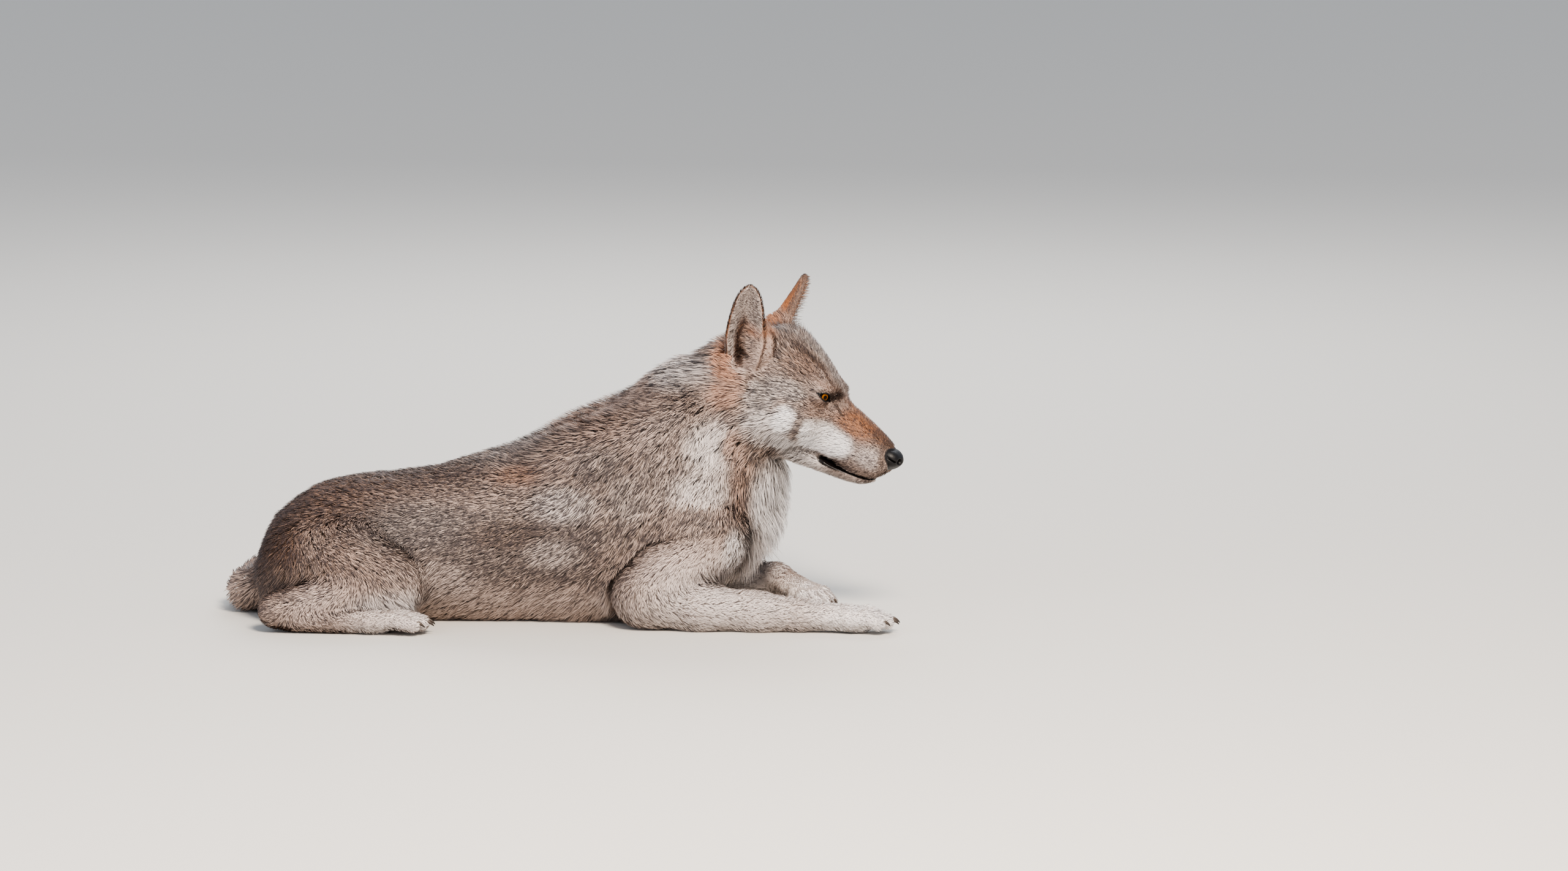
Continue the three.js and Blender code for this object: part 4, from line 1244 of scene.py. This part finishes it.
def coatPiece(name, hair, chosen, levels, sheet, material):
    rows, edge, width = hair["rows"][chosen], hair["edge"][chosen], hair["width"][chosen]
    count = len(chosen)
    points = np.empty((count, 7, 3))
    for k in range(3):
        half = edge * (width * lay["taper"][k] / 2)[:, None]
        points[:, 2 * k], points[:, 2 * k + 1] = rows[:, k] - half, rows[:, k] + half
    points[:, 6] = rows[:, 3]
    points[:, :, 2] = np.maximum(points[:, :, 2], lay["edgeFloor"])
    first = np.arange(count)[:, None] * 7
    quads = np.concatenate([first + [0, 2, 3, 1], first + [2, 4, 5, 3]])
    triangles = first + [4, 6, 5]
    mesh = newMesh(name, points.reshape(-1, 3), quads, triangles)
    across = np.array([0, 1, 0, 1, 0, 1, 0.5])
    along = np.repeat(lay["rows"], (2, 2, 2, 1))
    setAttribute(mesh, "along", np.tile(along, count))
    for channel, values in levels.items():
        setAttribute(mesh, channel, np.repeat(values[chosen], 7))
    setAttribute(mesh, "tone", np.repeat(hair["tone"][chosen], 7))
    setAttribute(mesh, "lockTone", np.repeat(hair["lockTone"][chosen], 7))
    vertex = np.empty(len(mesh.loops), np.int32)
    mesh.loops.foreach_get("vertex_index", vertex)
    own = np.stack([np.tile(across, count), np.tile(along, count)], 1)
    strand = own + np.repeat(hair["tone"][chosen] * 37, 7)[:, None] * (1, 0)
    patch = np.repeat(sheet[chosen], 7, axis=0) + (own - 0.5) * lay["patch"]
    for mapName, values in (("strands", strand), ("OFBake", np.clip(patch, 0, 1))):
        made = mesh.uv_layers.new(name=mapName)
        made.uv.foreach_set("vector", values[vertex].astype(np.float32).ravel())
    blade = np.cross(edge, hair["flowing"][chosen])
    blade *= np.sign((blade * hair["normal"][chosen]).sum(1, keepdims=True))
    shade = unit(hair["normal"][chosen] + blade * lay["lean"])
    mesh.normals_split_custom_set_from_vertices(np.repeat(shade, 7, axis=0).astype(np.float32))
    addPiece(name, mesh, material)


fur = {
    "tan": "#9A7C66", "rust": "#B67446", "pale": "#FCF9F8", "dark": "#2A2226",
    # The two underfur colours are the grey wool, made darker as painted shade deep in the coat.
    "underfurWithRootShade": "#6C5C52", "paleUnderfurWithRootShade": "#DCD2CC", "bare": "#100C0C",
    "lockSpread": 0.32,  # how much whole locks differ in darkness
}


def mixed(tree, share, first, second):
    return addNode(tree, "Mix", {0: share, 6: first, 7: second}, data_type="RGBA").outputs[2]


def furColour(tree, grain):
    # Banded guard hair: grey underfur at the root, darkened there as painted shade, a tan, rust or pale band,
    # and a dark tip on some locks.
    read = {name: addNode(tree, "Attribute", {}, attribute_name=name).outputs["Fac"]
            for name in ("along", "dark", "rust", "pale", "tone", "lockTone")}
    band = mixed(tree, read["rust"], linear(fur["tan"]), linear(fur["rust"]))
    band = mixed(tree, read["pale"], band, linear(fur["pale"]))
    chance = addNode(tree, "Math", {0: read["dark"], 1: read["tone"]}, operation="SUBTRACT")
    spread = addNode(tree, "Math", {0: read["lockTone"], 1: fur["lockSpread"], 2: chance.outputs[0]},
                     operation="MULTIPLY_ADD")
    grained = addNode(tree, "Math", {0: spread.outputs[0], 1: grain}, operation="ADD")
    share = addNode(tree, "MapRange", {"Value": grained.outputs[0], "From Max": 0.34, "To Max": 0.9})
    tip = addNode(tree, "MapRange", {"Value": read["along"], "From Min": 0.15, "From Max": 0.6},
                  interpolation_type="SMOOTHSTEP")
    both = addNode(tree, "Math", {0: share.outputs[0], 1: tip.outputs[0]}, operation="MULTIPLY")
    tipped = mixed(tree, both.outputs[0], band, linear(fur["dark"]))
    # Towards each root the colour goes to the underfur colours, darker than the real wool: painted shade deep
    # in the coat.
    under = mixed(tree, read["pale"], linear(fur["underfurWithRootShade"]), linear(fur["paleUnderfurWithRootShade"]))
    root = addNode(tree, "MapRange", {"Value": read["along"], "From Max": 0.42, "To Min": 0.8, "To Max": 0.0})
    return mixed(tree, root.outputs[0], tipped, under), read


def fanOut(tree, noise, low, high):
    # A noise's middle range, spread from low to high.
    return addNode(tree, "MapRange", {"Value": noise.outputs[0], "From Min": 0.3, "From Max": 0.7,
                                      "To Min": low, "To Max": high}).outputs[0]


def coatMaterial(name, roughness):
    # Wolf's guard hair over wool, groomed by the weather: matt, with each strand a little lighter or darker.
    material, tree, shader = newMaterial(name, roughness, 1.55)
    strands = addNode(tree, "UVMap", {}, uv_map="strands")
    stretch = addNode(tree, "Mapping", {"Vector": strands.outputs[0], "Scale": (5.0, 0.9, 1.0)})
    # Single hairs are 0.08 mm; these strands are drawn about 0.5 mm wide so that they show.
    noise = addNode(tree, "TexNoise", {"Vector": stretch.outputs[0], "Scale": 1.0, "Detail": 1.0},
                    noise_dimensions="2D")
    colour, read = furColour(tree, fanOut(tree, noise, -0.24, 0.24))
    strand = fanOut(tree, noise, 1.12, 0.88)
    lock = addNode(tree, "MapRange", {"Value": read["lockTone"], "To Min": 0.92, "To Max": 1.08})
    value = addNode(tree, "Math", {0: strand, 1: lock.outputs[0]}, operation="MULTIPLY")
    shaded = addNode(tree, "HueSaturation", {"Color": colour, "Value": value.outputs[0]})
    tree.links.new(shaded.outputs[0], shader.inputs["Base Color"])
    return material


def hideMaterial():
    # Skin under short hair: matt where it is furred, black and slightly wet at the lips and lids.
    material, tree, shader = newMaterial("wolfHideShortFurred", 0.8, 1.45)
    place = addNode(tree, "TexCoord", {})
    # The short hair is about 0.3 mm apart, drawn 1.6 mm apart so that it shows.
    noise = addNode(tree, "TexNoise", {"Vector": place.outputs["Object"], "Scale": 620.0, "Detail": 3.0,
                                       "Roughness": 0.6})
    colour, _ = furColour(tree, fanOut(tree, noise, -0.3, 0.3))
    bare = addNode(tree, "Attribute", {}, attribute_name="bare").outputs["Fac"]
    gloss = addNode(tree, "MapRange", {"Value": bare, "To Min": 0.8, "To Max": 0.34})
    bump = addNode(tree, "Bump", {"Height": noise.outputs[0], "Strength": 0.5, "Distance": 0.0006})
    tree.links.new(mixed(tree, bare, colour, linear(fur["bare"])), shader.inputs["Base Color"])
    tree.links.new(gloss.outputs[0], shader.inputs["Roughness"])
    tree.links.new(bump.outputs[0], shader.inputs["Normal"])
    return material


coatPieces = [  # name, regions, slot
    ("coatBody", ("body",), "back_coat"), ("coatRuff", ("neck", "breast"), "pale_coat"),
    ("coatHead", ("head", "cheek", "earRight", "earLeft"), "head_coat"), ("coatLegs", ("leg",), "tan_coat"),
    ("coatPaws", ("paw",), "pale_coat"), ("coatTail", ("tail",), "back_coat"),
]


def dressSkin(mesh):
    points, corners, normals = surfaceOf(mesh)
    levels = markings(points, readLay(points)["shares"])
    levels.update(bare=bareness(points), along=np.full(len(points), 0.5), tone=dice.random(len(points)),
                  lockTone=np.full(len(points), 0.4))
    for name, values in levels.items():
        setAttribute(mesh, name, values)
    flesh = [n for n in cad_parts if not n.startswith(("eye_", "nose")) and "claw" not in n]
    addPiece("skin", mesh, hideMaterial(), flesh)
    print("skin dressed")
    return points, corners, normals


def buildCoat(skin):
    points, corners, normals = dressSkin(skin)
    hair = styleCoat(scatter(skin, points, corners, normals))
    print("coat styled", len(hair["root"]), "locks")
    levels = markings(hair["rows"][:, 2], hair["shares"])
    sheet = unwrap(hair["root"], hair["normal"], hair["part"])
    material = coatMaterial("wolfGuardHairWeathered", 0.62)
    names = np.array(regions)[np.stack([hair["shares"][r] for r in regions]).argmax(0)]
    triangles = 0
    for name, own, slot in coatPieces:
        chosen = np.nonzero(np.isin(names, own))[0]
        pieces = max(1, math.ceil(len(chosen) / lay["mostInPiece"]))
        for i, some in enumerate(np.array_split(chosen, pieces)):
            coatPiece(f"{name}{i + 1}", hair, some, levels, sheet, material)
        triangles += len(chosen) * 5
        print(name, len(chosen), "locks in", pieces)
    print("coat", triangles, "triangles")


buildCoat(skin)


def simpleNet(measureAt, low, high, cell):
    low, high = np.array(low, float), np.array(high, float)
    count = np.ceil((high - low) / cell).astype(int)
    grid = np.stack(np.meshgrid(*[np.arange(n) for n in count], indexing="ij"), -1).reshape(-1, 3)
    values = measureAt(low + grid * cell).reshape(count)
    points, index = cellPoints(values, low, cell)
    faces = []
    for axis in range(3):
        edges, leaving = crossedEdges(values, axis)
        quad = np.stack([index[tuple(r.T)] for r in ringAround(edges, axis)], 1)
        faces.append(np.where(leaving[:, None], quad, quad[:, ::-1]))
    return points, np.concatenate(faces)


nose = {"colour": "#080607", "pebbleTop": "#151011", "pebble": 0.9}  # mm from pebble to pebble


def buildNose():
    low, high, cell = noseShape["low"], noseShape["high"], noseShape["cell"]
    points, faces = simpleNet(lambda p: noseField(fromHead(p)), low, high, cell)
    mesh = newMesh("nose", fromHead(points), faces, np.empty((0, 3), int))
    # A dog's nose leather: naturally pebbled skin kept moist, so it is black with a soft sheen.
    material, tree, shader = newMaterial("noseLeatherPebbled", 0.46, 1.4, coat=0.1)
    shader.inputs["Coat Roughness"].default_value = 0.3
    where = addNode(tree, "TexCoord", {})
    cells = addNode(tree, "TexVoronoi", {"Vector": where.outputs["Object"], "Scale": 1000 / nose["pebble"]},
                    feature="DISTANCE_TO_EDGE").outputs[0]
    # Lighter on the pebbles' tops, darker in the cracks between them.
    colour = mixed(tree, cells, linear(nose["colour"]), linear(nose["pebbleTop"]))
    bump = addNode(tree, "Bump", {"Height": cells, "Strength": 0.5, "Distance": 0.0004})
    tree.links.new(colour, shader.inputs["Base Color"])
    tree.links.new(bump.outputs[0], shader.inputs["Normal"])
    addPiece("noseLeather", mesh, material, ["nose"])
    print("nose", len(faces), "faces")


buildNose()

iris = {
    "stops": [(0.0, "#050404"), (0.2, "#060504"), (0.23, "#2E1908"), (0.3, "#7E4D14"), (0.39, "#8C5616"),
              (0.45, "#472409"), (0.5, "#0A0605"), (1.0, "#0E0908")],
    "bulge": 0.05,
}


def eyeMaterial():
    # A glass-clear wet cornea over an amber iris: one sharp glint, and colour that comes from within.
    material, tree, shader = newMaterial("wetCorneaAmberIris", 0.1, 1.33, coat=0.05)
    shader.inputs["Coat Roughness"].default_value = 0.02
    shader.inputs["Specular IOR Level"].default_value = 0.2
    where = addNode(tree, "TexCoord", {}).outputs["Object"]
    flat = addNode(tree, "VectorMath", {0: where, 1: (1, 1, 0)}, operation="MULTIPLY")
    radius = addNode(tree, "VectorMath", {0: flat.outputs[0]}, operation="LENGTH")
    share = addNode(tree, "MapRange", {"Value": radius.outputs["Value"], "From Max": eyes["radius"] * mm})
    ramp = addNode(tree, "ValToRGB", {"Fac": share.outputs[0]})
    stops = ramp.color_ramp.elements
    while len(stops) < len(iris["stops"]):
        stops.new(0.5)
    for stop, (at, colour) in zip(stops, iris["stops"]):
        stop.position, stop.color = at, linear(colour)
    # Fibres of the iris about 0.4 mm apart.
    fibres = addNode(tree, "TexNoise", {"Vector": where, "Scale": 1400.0, "Detail": 2.0})
    value = fanOut(tree, fibres, 0.7, 1.25)
    varied = addNode(tree, "HueSaturation", {"Color": ramp.outputs[0], "Value": value})
    tree.links.new(varied.outputs[0], shader.inputs["Base Color"])
    return material


def buildEyes():
    material = eyeMaterial()
    for side, eye in eyeFrames.items():
        work = bmesh.new()
        bmesh.ops.create_uvsphere(work, u_segments=48, v_segments=32, radius=eyes["radius"] * mm)
        for vertex in work.verts:
            tilt = vertex.co.angle(Vector((0, 0, 1)))
            vertex.co *= 1 + iris["bulge"] * math.exp(-(tilt / 0.55) ** 2)
        mesh = bpy.data.meshes.new("eye")
        work.to_mesh(mesh)
        work.free()
        mesh.polygons.foreach_set("use_smooth", np.ones(len(mesh.polygons), bool))
        ball = addPiece("eye" + side.capitalize(), mesh, material, ["eye_" + side])
        axisX = unit(np.cross(eye["high"], eye["gaze"]))
        turn = np.stack([axisX, np.cross(eye["gaze"], axisX), eye["gaze"]], 1)
        ball.matrix_world = mathutils.Matrix(turn.tolist()).to_4x4()
        ball.location = (eye["centre"] * mm).tolist()
    print("eyes set")


buildEyes()

claw = {
    "long": 17.0, "thick": 3.3, "flat": 0.7, "bend": 0.95, "out": 2, "up": 4.5, "rings": 9, "sides": 10,
    "root": "#5B4C40", "tip": "#1A1513",
}
clawNodes = {"frontRight": "forepaw_right", "frontLeft": "forepaw_left",
             "hindRight": "hindpaw_right", "hindLeft": "hindpaw_left"}


def alongClaw(foot, tip, bend):
    # The middle of the claw where it has turned down by this much.
    reach, drop = math.sin(bend) / claw["bend"], (1 - math.cos(bend)) / claw["bend"]
    middle = tip + foot["ahead"] * (claw["out"] + claw["long"] * reach)
    return middle + np.array((0, 0, claw["up"] - claw["long"] * drop))


def buildClaws():
    # Horn, grown in layers and worn on the ground: dark and dull, with a little gloss along the ridge.
    material, tree, shader = newMaterial("clawHornWorn", 0.42, 1.54)
    along = addNode(tree, "Attribute", {}, attribute_name="along").outputs["Fac"]
    colour = mixed(tree, along, linear(claw["root"]), linear(claw["tip"]))
    tree.links.new(colour, shader.inputs["Base Color"])
    rings, sides = claw["rings"], claw["sides"]
    for name, foot in feet.items():
        points, quads, triangles, share = [], [], [], []
        for tip in foot["tips"]:
            first = len(points)
            for ring in range(rings):
                t = ring / rings
                bend = t * claw["bend"]
                middle = alongClaw(foot, tip, bend)
                normal = foot["ahead"] * math.sin(bend) + np.array((0, 0, math.cos(bend)))
                r = claw["thick"] * (1 - t) ** 0.6
                for k in range(sides):
                    a = 2 * math.pi * k / sides
                    aside = foot["across"] * r * claw["flat"] * math.cos(a)
                    points.append(middle + aside + normal * r * math.sin(a))
                    share.append(t)
            points.append(alongClaw(foot, tip, claw["bend"]))
            share.append(1.0)
            for ring in range(rings - 1):
                for k in range(sides):
                    a, b = first + ring * sides + k, first + ring * sides + (k + 1) % sides
                    quads.append((a, b, b + sides, a + sides))
            last = first + (rings - 1) * sides
            triangles += [(last + k, last + (k + 1) % sides, len(points) - 1) for k in range(sides)]
            triangles += [(first, first + k + 1, first + k) for k in range(1, sides - 1)]
        mesh = newMesh("claws", np.array(points), np.array(quads), np.array(triangles))
        setAttribute(mesh, "along", share)
        nodes = [f"{clawNodes[name]}_claw_{i}" for i in (1, 2, 3, 4)]
        addPiece("claws" + name[0].upper() + name[1:], mesh, material, nodes)
    print("claws set")


buildClaws()

whisker = {
    "count": 13, "radius": 0.26, "long": (26, 52), "droop": (-0.16, 0, -0.12), "rings": 6,
    "colour": "#221D1B",
}


def buildWhiskers():
    # Whiskers: stiff keratin, tapering to nothing, darker and glossier than the coat.
    material, _, shader = newMaterial("whiskerKeratin", 0.35, 1.55)
    shader.inputs["Base Color"].default_value = linear(whisker["colour"])
    points, quads, triangles = [], [], []
    for side in (1, -1):
        for _ in range(whisker["count"]):
            root = np.array((70 + 32 * dice.random(), side * 24, -54 - 18 * dice.random()))
            way = unit(np.array((-0.62 + 0.3 * dice.random(), side * 0.85, -0.3 + 0.35 * dice.random())))
            long = whisker["long"][0] + (whisker["long"][1] - whisker["long"][0]) * dice.random()
            aside = unit(np.cross(way, (0, 0, 1)))
            above = np.cross(aside, way)
            first = len(points)
            for ring in range(whisker["rings"]):
                t = ring / (whisker["rings"] - 1)
                middle = root + way * long * t + np.array(whisker["droop"]) * long * t * t
                r = whisker["radius"] * (1 - 0.9 * t)
                for k in range(3):
                    a = 2 * math.pi * k / 3
                    points.append(middle + (aside * math.cos(a) + above * math.sin(a)) * r)
            for ring in range(whisker["rings"] - 1):
                for k in range(3):
                    a, b = first + ring * 3 + k, first + ring * 3 + (k + 1) % 3
                    quads.append((a, a + 3, b + 3, b))
            triangles += [(len(points) - 3, len(points) - 1, len(points) - 2), (first, first + 1, first + 2)]
    mesh = newMesh("whiskers", fromHead(np.array(points)), np.array(quads), np.array(triangles))
    addPiece("whiskers", mesh, material)
    print("whiskers set")


buildWhiskers()
